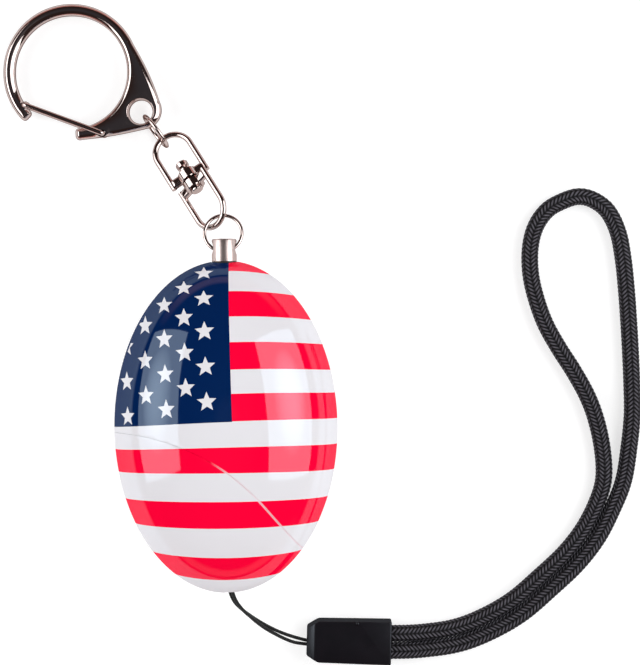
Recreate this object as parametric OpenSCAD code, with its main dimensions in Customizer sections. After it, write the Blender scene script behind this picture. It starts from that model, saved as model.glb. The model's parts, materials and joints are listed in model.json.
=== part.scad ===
// Egg-shaped personal alarm on a swivel clasp, with a lanyard string and a wrist cord.
// It lies on its flat back: +Y runs up the egg to the pull pin, +Z points out of the front.
// The origin is on the flat back, under the middle of the egg.

/* [Case] */
// Width of the egg
case_width = 44.6; // [40:0.2:56]
// Length of the egg
case_length = 66.4; // [60:0.2:84]
// Depth of the full egg, before its back is cut flat
case_depth = 30; // [27:0.5:38]
// How deep the flat of the back is cut
back_cut = 1; // [0.6:0.1:1.4]
// Wall of the covers
wall = 1.6; // [1.2:0.1:2.2]
// Gap at the seams between the covers
seam_gap = 0.1; // [0.06:0.01:0.2]
// Radius of the curved seam across the front
swoosh_radius = 39; // [30:0.5:48]
// Angle at which the curved seam runs out straight
swoosh_turn = 51; // [40:1:60]

/* [Rear] */
// Number of sound slots
slot_count = 5; // [3:1:6]
// Length of a sound slot
slot_length = 12; // [8:0.5:14]
// Width of a sound slot
slot_width = 1.4; // [1:0.1:1.8]
// Step between sound slots
slot_step = 3.4; // [2.6:0.1:3.8]
// Thickness of the battery door
door_wall = 0.9; // [0.7:0.05:1.1]
// Width of the ledge that carries the battery door
door_ledge = 1.2; // [0.9:0.1:1.4]
// Gap round the battery door
door_gap = 0.12; // [0.08:0.01:0.2]

/* [Screws] */
// Diameter of a case screw
case_screw_d = 1.9; // [1.6:0.1:2.3]
// Diameter of a screw head
screw_head_d = 3.6; // [3.2:0.1:4]
// Thickness of a screw head
screw_head_t = 1.4; // [1:0.1:1.6]
// Diameter of the door screw
door_screw_d = 1.6; // [1.4:0.1:1.8]
// Diameter of a screw boss
boss_d = 4.6; // [4.4:0.1:5.2]

/* [Pull pin] */
// Diameter of the cap
cap_d = 5; // [4.4:0.1:6]
// Length of the cap
cap_length = 4.6; // [4:0.1:5.4]
// Diameter of the cross hole in the cap
cap_hole_d = 2.6; // [2.5:0.05:2.8]
// Distance of the cross hole from the top of the cap
cap_hole_drop = 1.8; // [1.6:0.1:2.2]
// Diameter of the plug
plug_d = 2.6; // [2.2:0.1:3]
// Length of the plug below the cap
plug_length = 14.8; // [12:0.1:16]
// Thickness of the seal under the cap
seal_t = 0.35; // [0.25:0.05:0.5]

/* [Keychain] */
// Outer diameter of the pin ring
pin_ring_od = 8.2; // [7.8:0.1:9]
// Wire of the pin ring
pin_ring_wire = 0.7; // [0.6:0.05:0.8]
// Width of a swivel loop
swivel_width = 8.9; // [7.4:0.1:9.4]
// Length of the swivel between the wires at its ends
swivel_span = 22.5; // [20:0.1:26]
// Wire of the swivel loops
swivel_wire = 1.2; // [0.9:0.05:1.25]
// Height of the bar across a swivel loop
swivel_bar = 2; // [1.6:0.1:2.4]
// Diameter of the rivet
rivet_d = 1.5; // [1.2:0.1:1.8]
// Outer diameter of the link ring
link_od = 8.3; // [8:0.1:9.2]
// Wire of the link ring
link_wire = 0.8; // [0.6:0.05:0.9]
// Inner diameter of the clasp
clasp_bore = 23.1; // [19:0.1:28]
// Width of the clasp's rim
clasp_rim = 2.45; // [2:0.05:3.2]
// Thickness of the clasp
clasp_t = 2.8; // [2.2:0.1:3]
// Diameter of the eye in the clasp
clasp_eye_d = 4.8; // [4.4:0.1:5.2]
// Wire of the clasp's gate
gate_wire = 1.1; // [0.9:0.05:1.3]

/* [Cords] */
// Diameter of the lanyard string
string_d = 0.7; // [0.5:0.05:0.8]
// Diameter of the wrist cord
cord_d = 3.4; // [2.8:0.1:3.4]
// Length of the sleeve
sleeve_length = 17.3; // [14.5:0.1:21]
// Width of the sleeve at the wrist cord
sleeve_width = 8.9; // [8.4:0.1:10.5]
// Thickness of the sleeve
sleeve_t = 6; // [5.4:0.1:6.6]
// Diameter of the bar that the string goes round
bar_d = 2; // [1.6:0.1:2.1]

/* [Electrics] */
// Diameter of a button cell
cell_d = 11.6; // [9.5:0.1:12]
// Thickness of a button cell
cell_t = 5.4; // [4.2:0.1:5.6]
// Number of button cells
cell_count = 3; // [2:1:3]
// Diameter of the sounder disc
disc_d = 27; // [23:0.5:28]
// Thickness of the sounder disc
disc_t = 0.3; // [0.2:0.05:0.4]
// Thickness of the circuit board
board_t = 1.2; // [0.8:0.1:1.6]
// Width of the circuit board
board_width = 22; // [18:0.5:23]

/* [Hidden] */
$fn = 64;

// Small clearances
seat = 0.05;
fit = 0.03;
spin_fit = 0.06;
past = 1;
big = 200;

// Case, measured from its middle plane
half_w = case_width / 2;
half_l = case_length / 2;
half_d = case_depth / 2;
mid_z = half_d - back_cut;
swoosh_center = [-22.5, -swoosh_radius - 0.8];

// Board, posts and sounder
board_z = 9.6;
board_low = -9;
board_high = 23;
board_top = board_z + board_t;
post_r = 1.4;
post_x = board_width / 2 - 1.7;
post_y = [board_low + 1.8, board_high - 2.5];
disc_y = 5.2;
disc_z = 4.6;
ring_out = disc_d / 2 + 0.4;
ring_in = disc_d / 2 - 1.1;
ring_h = 1.45;
ceramic_r = disc_d / 2 - 3.5;
ceramic_t = 0.2;
lead_r = 0.4;
slot_low = 2.4 + slot_width / 2;

// Screws
case_screw_x = 15.5;
case_screw_y = [-8.8, 13.2];
case_screw_seat = 8.5;
case_screw_tip = 19.5;
door_screw_seat = 8.2;
door_boss_z = 9.5;
door_screw_tip = 12.8;
head_room = 0.15;

// Cells, their contacts and the door over them
cells_y = -19.6;
cells_z = 11.6;
cell_gap = 0.05;
cells_length = cell_count * (cell_t + cell_gap);
contact_t = 0.4;
contact_width = 6.4;
contact_low = 8.2;
contact_high = 15;
tongue_width = 2;
tongue_x = post_x - post_r - 0.5 - tongue_width;
tongue_low = cells_y + cell_d / 2 + 0.5;
spring_room = 1.6;
plus_x = cells_length / 2 + seat;
minus_x = -cells_length / 2 - seat - spring_room;
rib_t = 1.2;
door_in = [
    [-cells_length / 2 - 0.2, cells_y - cell_d / 2 - 0.2], [cells_length / 2, cells_y + cell_d / 2 + 0.2]
];
door_out = [door_in[0] - [door_ledge, door_ledge], door_in[1] + [door_ledge, door_ledge]];
door_screw_at = [cells_length / 2 + 4, cells_y];
door_tab_r = boss_d / 2 + door_ledge;

// Pull pin: the cap stands on its seal in a flat at the top of the egg
seal_y = half_l - 0.7;
cap_y = seal_y + seal_t + seat;
cap_top = cap_y + cap_length;
hole_y = cap_top - cap_hole_drop;
plug_tip = cap_y - plug_length;
plug_in_cap = 1;
socket_neck_r = plug_d / 2 + 0.7;
socket_body_r = plug_d / 2 + 1.7;
socket_flange_r = plug_d / 2 + 2.7;
socket_flange_y = half_l - wall - 3;
socket_flange_t = 1.2;
socket_low = socket_flange_y - 4.6;
saddle_y = socket_low + 1;
saddle_t = 1.4;
seal_r = cap_d / 2 + 0.25;
leaf_t = 0.3;
leaf_x = plug_d / 2 + 0.1;
leaf_high = mid_z + 2.4;
leaf_low_y = plug_tip - 2.6;
leaf_length = 7;

// Lanyard bar in the bottom end
bar_at = [0.5, -half_l + wall + 1.6, mid_z];
bar_length = 7.8;
ear_t = 1.6;
exit_slot = [2.4, 4.2, 3.6];

// Pin ring: it hangs in the cross hole and droops towards the ground
ring_droop = 15;
ring_shift = -0.2;
ring_play = 0.3;
ring_mean = (pin_ring_od - pin_ring_wire) / 2;
ring_reach = ring_mean + pin_ring_wire / 2 + ring_play - cap_hole_d / 2;
ring_dir = [0, cos(ring_droop), -sin(ring_droop)];
pin_hole = [0, hole_y, mid_z];
ring_center = pin_hole + [ring_shift, 0, 0] + ring_reach * ring_dir;
link_play = 0.45;

// Swivel: from the pin ring down to the link ring
pull_angle = 25;
swivel_yaw = 31.7;
lower_roll = 34;
swivel_half = (swivel_width - swivel_wire) / 2;
ring_grip = ring_mean - pin_ring_wire / 2 - swivel_wire / 2 - link_play;
swivel_foot = ring_center + ring_grip * (cos(pull_angle) * ring_dir - [sin(pull_angle), 0, 0]);
swivel_head_z = link_od / 2 + 0.75;
swivel_dip = asin((swivel_foot.z - swivel_head_z) / swivel_span);
swivel_x = [cos(swivel_yaw), sin(swivel_yaw), 0];
swivel_axis = [
    -sin(swivel_yaw) * cos(swivel_dip), cos(swivel_yaw) * cos(swivel_dip), -sin(swivel_dip)
];
swivel_head = swivel_foot + swivel_span * swivel_axis;
bar_gap = 0.3;
loop_length = (swivel_span - bar_gap) / 2;
bar_t = 1.5;
boss_r = rivet_d / 2 + 0.8;
rivet_foot_t = 0.6;
rivet_neck = 0.5;
rivet_head_t = 1.2;
rivet_head_r = rivet_d / 2 + 0.55;

// Link ring: it stands on the ground, through the eye of the clasp
link_yaw = 36.87;
link_lean = 7;
link_turn = 10;
link_mean = (link_od - link_wire) / 2;
link_dir = [-sin(link_yaw), cos(link_yaw), 0];
link_grip = link_mean - link_wire / 2 - swivel_wire / 2 - 0.5;
link_hold = swivel_head - swivel_half * swivel_axis
    + swivel_half * (cos(link_turn) * swivel_axis - sin(link_turn) * swivel_x);
link_center = [link_hold.x, link_hold.y, link_mean * cos(link_lean) + link_wire / 2] + link_grip * link_dir;

// Clasp: it lies on its gate, with its tail propped on the link ring
clasp_tilt = 2.9;
clasp_slack = 1.2;
gate_clear = 0.1;
gate_z = clasp_t / 2 + gate_clear + gate_wire / 2;
bow_r = clasp_bore / 2;
bow_out = bow_r + clasp_rim;
bow_center = [-14.28, 8.36] * (clasp_bore / 23.1);
tail_center = [0.3, 0.4];
tail_r = clasp_eye_d / 2 + 1.5;
gate_pivot = bow_center + (bow_r + 2.7) * [cos(-63), sin(-63)];
gate_tip = bow_center + (bow_r + 0.05) * [cos(-145), sin(-145)];
gate_pin_in = 0.9;
gate_bend_r = 0.62;
mouth_from = -134;
mouth_to = -86.5;
notch_r = gate_wire / 2 + 0.3;
eye_z = (gate_z + gate_wire / 2) * cos(clasp_tilt) - gate_tip.x * sin(clasp_tilt);
link_far = link_center + (link_mean + clasp_slack) * link_dir;
clasp_eye = [link_far.x, link_far.y, eye_z];

// Sleeve and cords
sleeve_at = [15.6, -44.35, 0];
sleeve_turn = -2.1;
sleeve_taper = 0.2;
sleeve_chamfer = [2.4, 1.3];
sleeve_bevel = [1.4, 1.2];
cord_sides = 8;
cord_room = 0.1;
cord_pitch = cord_d + 0.1;
cord_depth = 10.9;
cord_z = cord_d / 2 + 0.05;
mouth_z = sleeve_t / 2;
string_mid = -0.45;
string_pitch = 0.8;
string_hole = string_d + 0.15;
string_mouth_z = 3.2;
string_depth = 3.3;

// A point on a run in the sleeve's own frame
function in_sleeve(x, y, z) = sleeve_at + [
    x * cos(sleeve_turn) - y * sin(sleeve_turn), x * sin(sleeve_turn) + y * cos(sleeve_turn), z
];
function string_run(x, side) = in_sleeve(x, string_mid + side * string_pitch / 2, string_mouth_z);
function cord_run(x, side) = in_sleeve(x, side * cord_pitch / 2, mouth_z);

// Route of the string: out of the sleeve, over its own return, round the bar and back
string_route = [
    string_run(3.2, -1), string_run(1.6, -1), string_run(-0.1, -1), [13, -44.8, 3.2], [11, -43.95, 3.7],
    [9.2, -42.85, 4.85], [7.4, -41.6, 6.25], [5.7, -40.1, 8], [4.2, -38.5, 9.9], [2.9, -37, 11.7],
    [1.8, -35.3, 13.3], [1.1, -33.5, 14.4], [0.8, -31.7, 15.2],
    [0.75, -30, 15.65], [0.6, -28.85, 15.15], [0.5, -28.35, 14], [0.4, -28.85, 12.85], [0.3, -30, 12.35],
    [0.25, -31.7, 12.8], [0.5, -33.5, 12.9], [1.25, -35.3, 12.1], [2.55, -36.9, 10.7], [4.15, -38.4, 9],
    [5.75, -39.75, 7.2], [7.5, -41.05, 5.5], [9.8, -42.4, 4.15], [12.4, -43.5, 3.4], string_run(-0.1, 1),
    string_run(1.6, 1), string_run(3.2, 1)
];

// Route of the wrist cord: two runs side by side on the ground, then a round loop
cord_route = [
    cord_run(6.5, -1), cord_run(12, -1), cord_run(17.5, -1), [39.16, -46.68, 2.2],
    [46.8, -45.69, cord_z], [53.46, -43.25, cord_z], [59.98, -39.55, cord_z], [65.89, -34.6, cord_z],
    [71.34, -29.56, cord_z], [75.61, -24.2, cord_z], [78.72, -18.32, cord_z], [81.07, -12.53, cord_z],
    [82.3, -5.5, cord_z], [83, 1, cord_z], [83, 7, cord_z], [82.8, 13.5, cord_z], [82.5, 20, cord_z],
    [82.1, 26.5, cord_z], [81.5, 33, cord_z], [80.5, 38.5, cord_z], [78.5, 42.8, cord_z],
    [75.6, 45.2, cord_z], [72.5, 46, cord_z], [69.2, 45.1, cord_z], [65.9, 43.2, cord_z],
    [63.5, 39.8, cord_z], [62.4, 35.5, cord_z], [62.4, 30.5, cord_z], [63.4, 25.5, cord_z],
    [65.3, 20, cord_z], [68, 15, cord_z], [71, 10.2, cord_z], [73.8, 5, cord_z], [75.6, 0, cord_z],
    [76.8, -6, cord_z], [77, -12, cord_z], [75.5, -17, cord_z], [72.7, -22.3, cord_z],
    [68.8, -27.2, cord_z], [63.6, -32, cord_z], [58, -36.7, cord_z], [52, -40.1, cord_z],
    [46, -42.3, cord_z], [39.05, -43.2, 2.2], cord_run(17.5, 1), cord_run(12, 1), cord_run(6.5, 1)
];

// Tube along a route: each ring of points lies square to the route
function unit(v) = v / norm(v);
function heading(route, i) = unit(route[min(i + 1, len(route) - 1)] - route[max(i - 1, 0)]);
function square_to(v, t) = unit(v - (v * t) * t);
function side_dirs(route) = [
    for (i = 0, n = square_to([0, 0, 1], heading(route, 0)); i < len(route);
         i = i + 1, n = square_to(n, heading(route, min(i, len(route) - 1)))) n
];
function ring_points(center, n, t, r) = [
    for (k = [0 : cord_sides - 1])
        let (turn = 360 * k / cord_sides) center + r * (cos(turn) * n + sin(turn) * cross(t, n))
];

module tube(route, d) {
    last = len(route) - 1;
    sides = side_dirs(route);
    rings = [for (i = [0 : last]) each ring_points(route[i], sides[i], heading(route, i), d / 2)];
    walls = [
        for (i = [0 : last - 1], k = [0 : cord_sides - 1])
            let (a = i * cord_sides + k, b = i * cord_sides + (k + 1) % cord_sides)
                each [[a, a + cord_sides, b], [b, a + cord_sides, b + cord_sides]]
    ];
    caps = [
        for (k = [1 : cord_sides - 2])
            each [[0, k, k + 1], [last * cord_sides, last * cord_sides + k + 1, last * cord_sides + k]]
    ];
    polyhedron(points = rings, faces = concat(walls, caps));
}

// Shapes shared by several pieces

// Box from one corner to the other
module block(low, high) {
    translate(low) cube(high - low);
}

// Upright cylinder between two heights
module peg(at, r, low, high) {
    translate([at.x, at.y, low]) cylinder(r = r, h = high - low);
}

// Cylinder along Y on the axis of the pin
module pin_rod(r, low, high) {
    translate([0, low, mid_z]) rotate([-90, 0, 0]) cylinder(r = r, h = high - low);
}

// Cylinder along X
module cross_rod(at, r, length) {
    translate([at.x - length / 2, at.y, at.z]) rotate([0, 90, 0]) cylinder(r = r, h = length);
}

module wire_ring(mean_r, wire_r) {
    rotate_extrude() translate([mean_r, 0]) circle(r = wire_r);
}

// The egg, taken in by an inset and cut flat at the back
module egg(inset) {
    intersection() {
        translate([0, 0, mid_z]) scale([half_w - inset, half_l - inset, half_d - inset]) sphere(r = 1);
        block([-big, -big, inset], [big, big, big]);
    }
}

module egg_wall() {
    difference() {
        egg(0);
        egg(wall);
    }
}

module rear_half() {
    block([-big, -big, -big], [big, big, mid_z - seam_gap / 2]);
}

module front_half() {
    block([-big, -big, mid_z + seam_gap / 2], [big, big, big]);
}

// Everything below the curved front seam
module below_swoosh(grow) {
    translate([swoosh_center.x, swoosh_center.y, -big / 2]) {
        cylinder(r = swoosh_radius + grow, h = big, $fn = 128);
        rotate([0, 0, -swoosh_turn]) cube([big, swoosh_radius + grow, big]);
    }
}

// Ears for the lanyard bar, inside the egg
module bar_ears() {
    for (side = [-1, 1])
        translate([bar_at.x + side * (bar_length - ear_t) / 2 - ear_t / 2, bar_at.y - 1.8, 0])
            cube([ear_t, 3.6, big]);
}

// Saddle that clamps the pin socket, inside the egg
module socket_saddle() {
    block([-6, saddle_y, 0], [6, saddle_y + saddle_t, big]);
}

// What the covers leave free for the pin, the bar and the string
module cover_cuts() {
    pin_rod(socket_neck_r + seat, half_l - wall - 2, half_l + past);
    pin_rod(socket_body_r + seat, socket_low - past, saddle_y + saddle_t + past);
    pin_rod(seal_r + seat, seal_y, half_l + past);
    cross_rod(bar_at, bar_d / 2 + fit, bar_length + seat);
    translate([bar_at.x + 0.05, -half_l + 1.3, mid_z]) cube(exit_slot, center = true);
}

module case_screw_places(which) {
    for (place = which) translate([place.x, place.y, 0]) children();
}

upper_screws = [
    [-case_screw_x, case_screw_y[1]], [case_screw_x, case_screw_y[1]], [case_screw_x, case_screw_y[0]]
];
lower_screws = [[-case_screw_x, case_screw_y[0]]];

module front_boss() {
    difference() {
        peg([0, 0], boss_d / 2, 0, big);
        peg([0, 0], case_screw_d / 2 + fit, -past, case_screw_tip + 0.3);
    }
}

// One front cover: wall, ribs and bosses, before it is cut at the curved seam
module front_shell(screws) {
    difference() {
        intersection() {
            union() {
                egg_wall();
                intersection() {
                    egg(wall / 2);
                    union() {
                        case_screw_places(screws) front_boss();
                        bar_ears();
                        socket_saddle();
                    }
                }
            }
            front_half();
        }
        cover_cuts();
    }
}

// Case

module rear_cover() {
    color("white") difference() {
        union() {
            intersection() {
                egg_wall();
                rear_half();
            }
            intersection() {
                egg(wall / 2);
                rear_half();
                union() {
                    case_screw_places(concat(upper_screws, lower_screws)) peg([0, 0], boss_d / 2, 0, big);
                    bar_ears();
                    socket_saddle();
                    for (x = [-post_x, post_x], y = post_y) peg([x, y], post_r, 0, board_z - seat);
                    difference() {
                        peg([0, disc_y], ring_out, 0, disc_z - seat);
                        peg([0, disc_y], ring_in, -past, big);
                    }
                    contact_ribs();
                    door_boss();
                }
            }
        }
        cover_cuts();
        case_screw_places(concat(upper_screws, lower_screws)) {
            peg([0, 0], screw_head_d / 2 + head_room, -past, case_screw_seat);
            peg([0, 0], case_screw_d / 2 + head_room, -past, big);
        }
        sound_slots();
        door_opening();
        cross_rod([0, cells_y, cells_z], cell_d / 2 + 0.2, cells_length + 0.2);
    }
}

module contact_ribs() {
    for (x = [plus_x + contact_t + seat, minus_x - contact_t - seat - rib_t])
        block([x, cells_y - contact_width / 2, 0], [x + rib_t, cells_y + contact_width / 2, contact_high]);
}

module door_boss() {
    peg(door_screw_at, boss_d / 2 + 0.5, door_boss_z, door_screw_tip + 1);
    block(
        [door_screw_at.x, door_screw_at.y - 1.2, door_boss_z],
        [half_w, door_screw_at.y + 1.2, door_screw_tip]
    );
}

module sound_slots() {
    for (i = [0 : slot_count - 1]) translate([0, slot_low + i * slot_step, -past]) {
        reach = (slot_length - slot_width) / 2;
        block([-reach, -slot_width / 2, 0], [reach, slot_width / 2, disc_z]);
        for (side = [-1, 1]) translate([side * reach, 0, 0]) cylinder(d = slot_width, h = disc_z);
    }
}

// The door covers the cells, with a round tab for its screw
module door_prism(gap) {
    low = door_out[0] + [gap, gap];
    high = door_out[1] - [gap, gap];
    tab_r = door_tab_r - gap;
    translate([0, 0, -past]) linear_extrude(height = mid_z - 2 + past) {
        translate(low) square(high - low);
        translate(door_screw_at) circle(r = tab_r);
        translate([high.x - past, door_screw_at.y - tab_r])
            square([door_screw_at.x - high.x + past, 2 * tab_r]);
    }
}

// The opening is stepped: the ledge that is left carries the door
module door_opening() {
    block([door_in[0].x, door_in[0].y, -past], [door_in[1].x, door_in[1].y, mid_z - 4]);
    difference() {
        door_prism(0);
        egg(door_wall);
    }
    peg(door_screw_at, boss_d / 2 + door_gap, -past, door_boss_z);
    peg(door_screw_at, door_screw_d / 2 + fit, 0, door_screw_tip + 0.3);
}

module battery_door() {
    color("white") difference() {
        union() {
            intersection() {
                difference() {
                    egg(0);
                    egg(door_wall - seat);
                }
                door_prism(door_gap);
            }
            intersection() {
                egg(0);
                peg(door_screw_at, boss_d / 2, 0, door_boss_z - seat);
            }
        }
        peg(door_screw_at, screw_head_d / 2 + head_room, -past, door_screw_seat);
        peg(door_screw_at, door_screw_d / 2 + head_room, -past, big);
    }
}

module screw(seat_z, tip_z, d) {
    difference() {
        union() {
            peg([0, 0], screw_head_d / 2, seat_z - seat - screw_head_t, seat_z - seat);
            peg([0, 0], d / 2, seat_z - seat, tip_z);
        }
        for (turn = [0, 90]) rotate([0, 0, turn])
            translate([-screw_head_d / 3, -0.2, seat_z - seat - screw_head_t - past])
                cube([screw_head_d / 1.5, 0.4, past + 0.6]);
    }
}

module door_screw() {
    color("silver") translate([door_screw_at.x, door_screw_at.y, 0])
        screw(door_screw_seat, door_screw_tip, door_screw_d);
}

module case_screws() {
    color("silver") case_screw_places(concat(upper_screws, lower_screws))
        screw(case_screw_seat, case_screw_tip, case_screw_d);
}

module front_upper_cover() {
    color("firebrick") difference() {
        front_shell(upper_screws);
        below_swoosh(seam_gap / 2);
    }
}

module front_lower_cover() {
    color("gainsboro") intersection() {
        front_shell(lower_screws);
        below_swoosh(-seam_gap / 2);
    }
}

module lanyard_bar() {
    color("silver") cross_rod(bar_at, bar_d / 2, bar_length);
}

// Pull pin and its switch

module pin_socket() {
    color("black") difference() {
        union() {
            pin_rod(socket_neck_r, socket_flange_y, seal_y - seat);
            pin_rod(socket_flange_r, socket_flange_y, socket_flange_y + socket_flange_t);
            pin_rod(socket_body_r, socket_low, socket_flange_y);
        }
        pin_rod(plug_d / 2 + spin_fit, socket_low - past, half_l + past);
    }
}

module pin_seal() {
    color("black") difference() {
        pin_rod(seal_r, seal_y, seal_y + seal_t);
        pin_rod(plug_d / 2 + 0.2, seal_y - past, seal_y + seal_t + past);
    }
}

module pull_pin_cap() {
    edge = 0.3;
    color("silver") difference() {
        translate([0, cap_y, mid_z]) rotate([-90, 0, 0]) rotate_extrude() polygon([
            [0, 0], [cap_d / 2, 0], [cap_d / 2, cap_length - edge],
            [cap_d / 2 - edge, cap_length], [0, cap_length]
        ]);
        pin_rod(plug_d / 2 + fit, cap_y - past, cap_y + plug_in_cap);
        cross_rod(pin_hole, cap_hole_d / 2, cap_d + 2 * past);
    }
}

module pull_pin_plug() {
    tip = 0.6;
    color("dimgray") translate([0, plug_tip, mid_z]) rotate([-90, 0, 0]) rotate_extrude() polygon([
        [0, 0], [plug_d / 2 - tip, 0], [plug_d / 2, tip],
        [plug_d / 2, plug_length + plug_in_cap - seat], [0, plug_length + plug_in_cap - seat]
    ]);
}

module switch_leaf() {
    block([leaf_x, leaf_low_y, board_top + seat], [leaf_x + leaf_t, leaf_low_y + leaf_length, leaf_high]);
    block([leaf_x, leaf_low_y, board_top + seat], [leaf_x + 2.6, leaf_low_y + 3, board_top + seat + leaf_t]);
}

module switch_leaf_left() {
    color("gold") mirror([1, 0, 0]) switch_leaf();
}

module switch_leaf_right() {
    color("gold") switch_leaf();
}

// Board and sounder

module circuit_board() {
    color("darkgreen") difference() {
        block([-board_width / 2, board_low, board_z], [board_width / 2, board_high, board_top]);
        for (side = [-1, 1]) translate([side * board_width / 2, board_high, board_z - past])
            rotate([0, 0, 45]) cube([3, 3, 2 * (board_t + 2 * past)], center = true);
    }
}

module driver_chip() {
    size = [5, 4, 1.5];
    color("black") translate([-2.5, -5, board_top + seat]) {
        cube(size);
        for (side = [-0.7, size.y], i = [0 : 3]) translate([0.5 + i * 1.2, side, 0]) cube([0.4, 0.7, 0.4]);
    }
}

module drive_transistor() {
    color("black") translate([5.5, 5, board_top + seat]) difference() {
        cylinder(d = 4.6, h = 4.8);
        translate([-5, 1.3, -past]) cube([10, 5, 4.8 + 2 * past]);
    }
}

module boost_inductor() {
    color("peru") translate([-5.5, 4, board_top + seat]) {
        cylinder(d = 6.4, h = 1);
        cylinder(d = 5.2, h = 6);
        translate([0, 0, 5]) cylinder(d = 6.4, h = 1);
    }
}

module buzzer_disc() {
    color("goldenrod") peg([0, disc_y], disc_d / 2, disc_z, disc_z + disc_t);
}

module buzzer_ceramic() {
    color("ivory") peg([0, disc_y], ceramic_r, disc_z + disc_t + seat, disc_z + disc_t + seat + ceramic_t);
}

module buzzer_ring() {
    low = disc_z + disc_t + seat;
    color("black") difference() {
        peg([0, disc_y], ring_out, low, low + ring_h);
        peg([0, disc_y], ring_in, low - past, low + ring_h + past);
    }
}

module buzzer_leads() {
    top = board_z - seat;
    color("red") {
        peg([4, disc_y], lead_r, disc_z + disc_t + 2 * seat + ceramic_t, top);
        peg([(ceramic_r + ring_in) / 2 - 0.6, disc_y - 3], lead_r, disc_z + disc_t + seat, top);
    }
}

// Cells

module battery_cells() {
    cap_t = 0.6;
    color("lightgray") for (i = [0 : cell_count - 1])
        translate([-cells_length / 2 + i * (cell_t + cell_gap), cells_y, cells_z]) rotate([0, 90, 0]) {
            cylinder(d = cell_d - 2, h = cell_t);
            translate([0, 0, cap_t]) cylinder(d = cell_d, h = cell_t - cap_t);
        }
}

// Contact for the right end of the row: a plate, a strip past the cells and a tongue under the board
module contact(x) {
    reach = x + contact_t;
    tongue_z = board_z - seat - contact_t;
    block(
        [x, cells_y - contact_width / 2, contact_low],
        [reach, cells_y + contact_width / 2, contact_high]
    );
    block([x, cells_y, contact_low], [reach, tongue_low + 1, board_z - seat]);
    block([tongue_x, tongue_low, tongue_z], [reach, tongue_low + 1, board_z - seat]);
    block([tongue_x, tongue_low, tongue_z], [tongue_x + tongue_width, board_low + 4, board_z - seat]);
}

module battery_plus_contact() {
    color("gold") contact(plus_x);
}

// The bowed leaf presses on the last cell
module battery_minus_spring() {
    bow = 4;
    leaf_h = contact_high - contact_low - 2;
    color("gold") {
        mirror([1, 0, 0]) contact(-minus_x);
        intersection() {
            translate([minus_x + spring_room - bow - seat, cells_y, contact_low + 1]) difference() {
                cylinder(r = bow, h = leaf_h);
                translate([0, 0, -past]) cylinder(r = bow - contact_t, h = leaf_h + 2 * past);
            }
            block([minus_x - contact_t / 2, cells_y - big, 0], [minus_x + spring_room, cells_y + big, big]);
        }
    }
}

// Keychain

module pin_ring() {
    color("silver") translate(ring_center) rotate([-ring_droop, 0, 0])
        wire_ring(ring_mean, pin_ring_wire / 2);
}

// Local frame of the swivel: +Y along it, from the pin ring to the link ring
module at_swivel(roll) {
    translate(swivel_foot) rotate([0, 0, swivel_yaw]) rotate([-swivel_dip, 0, 0]) rotate([0, -roll, 0])
        children();
}

// Stirrup with its round end at the origin, its bar across the open end and a boss for the rivet
module stirrup(bore_r) {
    wire = swivel_wire / 2;
    bar_low = loop_length - swivel_bar;
    difference() {
        union() {
            translate([0, swivel_half, 0]) rotate([0, 0, 180]) rotate_extrude(angle = 180)
                translate([swivel_half, 0]) circle(r = wire);
            for (side = [-1, 1]) translate([side * swivel_half, swivel_half, 0]) rotate([-90, 0, 0])
                cylinder(r = wire, h = loop_length - swivel_half);
            block([-swivel_half, bar_low, -bar_t / 2], [swivel_half, loop_length, bar_t / 2]);
            translate([0, bar_low, 0]) rotate([-90, 0, 0]) cylinder(r = boss_r, h = swivel_bar);
        }
        translate([0, bar_low - past, 0]) rotate([-90, 0, 0]) cylinder(r = bore_r, h = swivel_bar + 2 * past);
    }
}

module swivel_lower_loop() {
    color("silver") at_swivel(lower_roll) stirrup(rivet_d / 2 + fit);
}

module swivel_upper_loop() {
    color("silver") at_swivel(0) translate([0, swivel_span, 0]) mirror([0, 1, 0])
        stirrup(rivet_d / 2 + spin_fit);
}

module swivel_rivet() {
    foot = loop_length - swivel_bar - seat - rivet_foot_t;
    head = loop_length + bar_gap + swivel_bar + 2 * seat;
    color("silver") at_swivel(0) translate([0, foot, 0]) rotate([-90, 0, 0]) {
        cylinder(r = rivet_head_r, h = rivet_foot_t);
        cylinder(r = rivet_d / 2, h = head - foot);
        translate([0, 0, head - foot]) cylinder(r = rivet_head_r, h = rivet_neck);
        translate([0, 0, head - foot]) cylinder(r = rivet_d / 2, h = 2 * rivet_neck + rivet_head_t / 2);
        translate([0, 0, head - foot + 2 * rivet_neck]) cylinder(r = rivet_head_r, h = rivet_head_t);
    }
}

module link_ring() {
    color("silver") translate(link_center) rotate([0, 0, link_yaw]) rotate([0, 90 + link_lean, 0])
        wire_ring(link_mean, link_wire / 2);
}

// Local frame of the clasp: origin in the middle of its eye
module at_clasp() {
    translate(clasp_eye) rotate([0, -clasp_tilt, 0]) children();
}

// Where a straight line touches two circles, on one side
function touch_angle(from, r_from, to, r_to, side) =
    let (line = to - from) atan2(line.y, line.x) + side * acos((r_from - r_to) / norm(line));

module clasp_outline() {
    upper = touch_angle(tail_center, tail_r, bow_center, bow_out, -1);
    lower = touch_angle(tail_center, tail_r, bow_center, bow_out, 1);
    difference() {
        union() {
            translate(bow_center) circle(r = bow_out, $fn = 128);
            translate(tail_center) circle(r = tail_r);
            polygon([
                tail_center + tail_r * [cos(upper), sin(upper)],
                bow_center + bow_out * [cos(upper), sin(upper)],
                bow_center + bow_out * [cos(lower), sin(lower)],
                tail_center + tail_r * [cos(lower), sin(lower)]
            ]);
        }
        translate(bow_center) circle(r = bow_r, $fn = 128);
        circle(d = clasp_eye_d);
        translate(bow_center) polygon([
            [0, 0],
            2 * bow_out * [cos(mouth_from), sin(mouth_from)],
            2 * bow_out * [cos(mouth_to), sin(mouth_to)]
        ]);
        translate(gate_tip) circle(r = notch_r);
        translate(gate_pivot) circle(d = gate_wire + 2 * spin_fit);
    }
}

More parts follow.
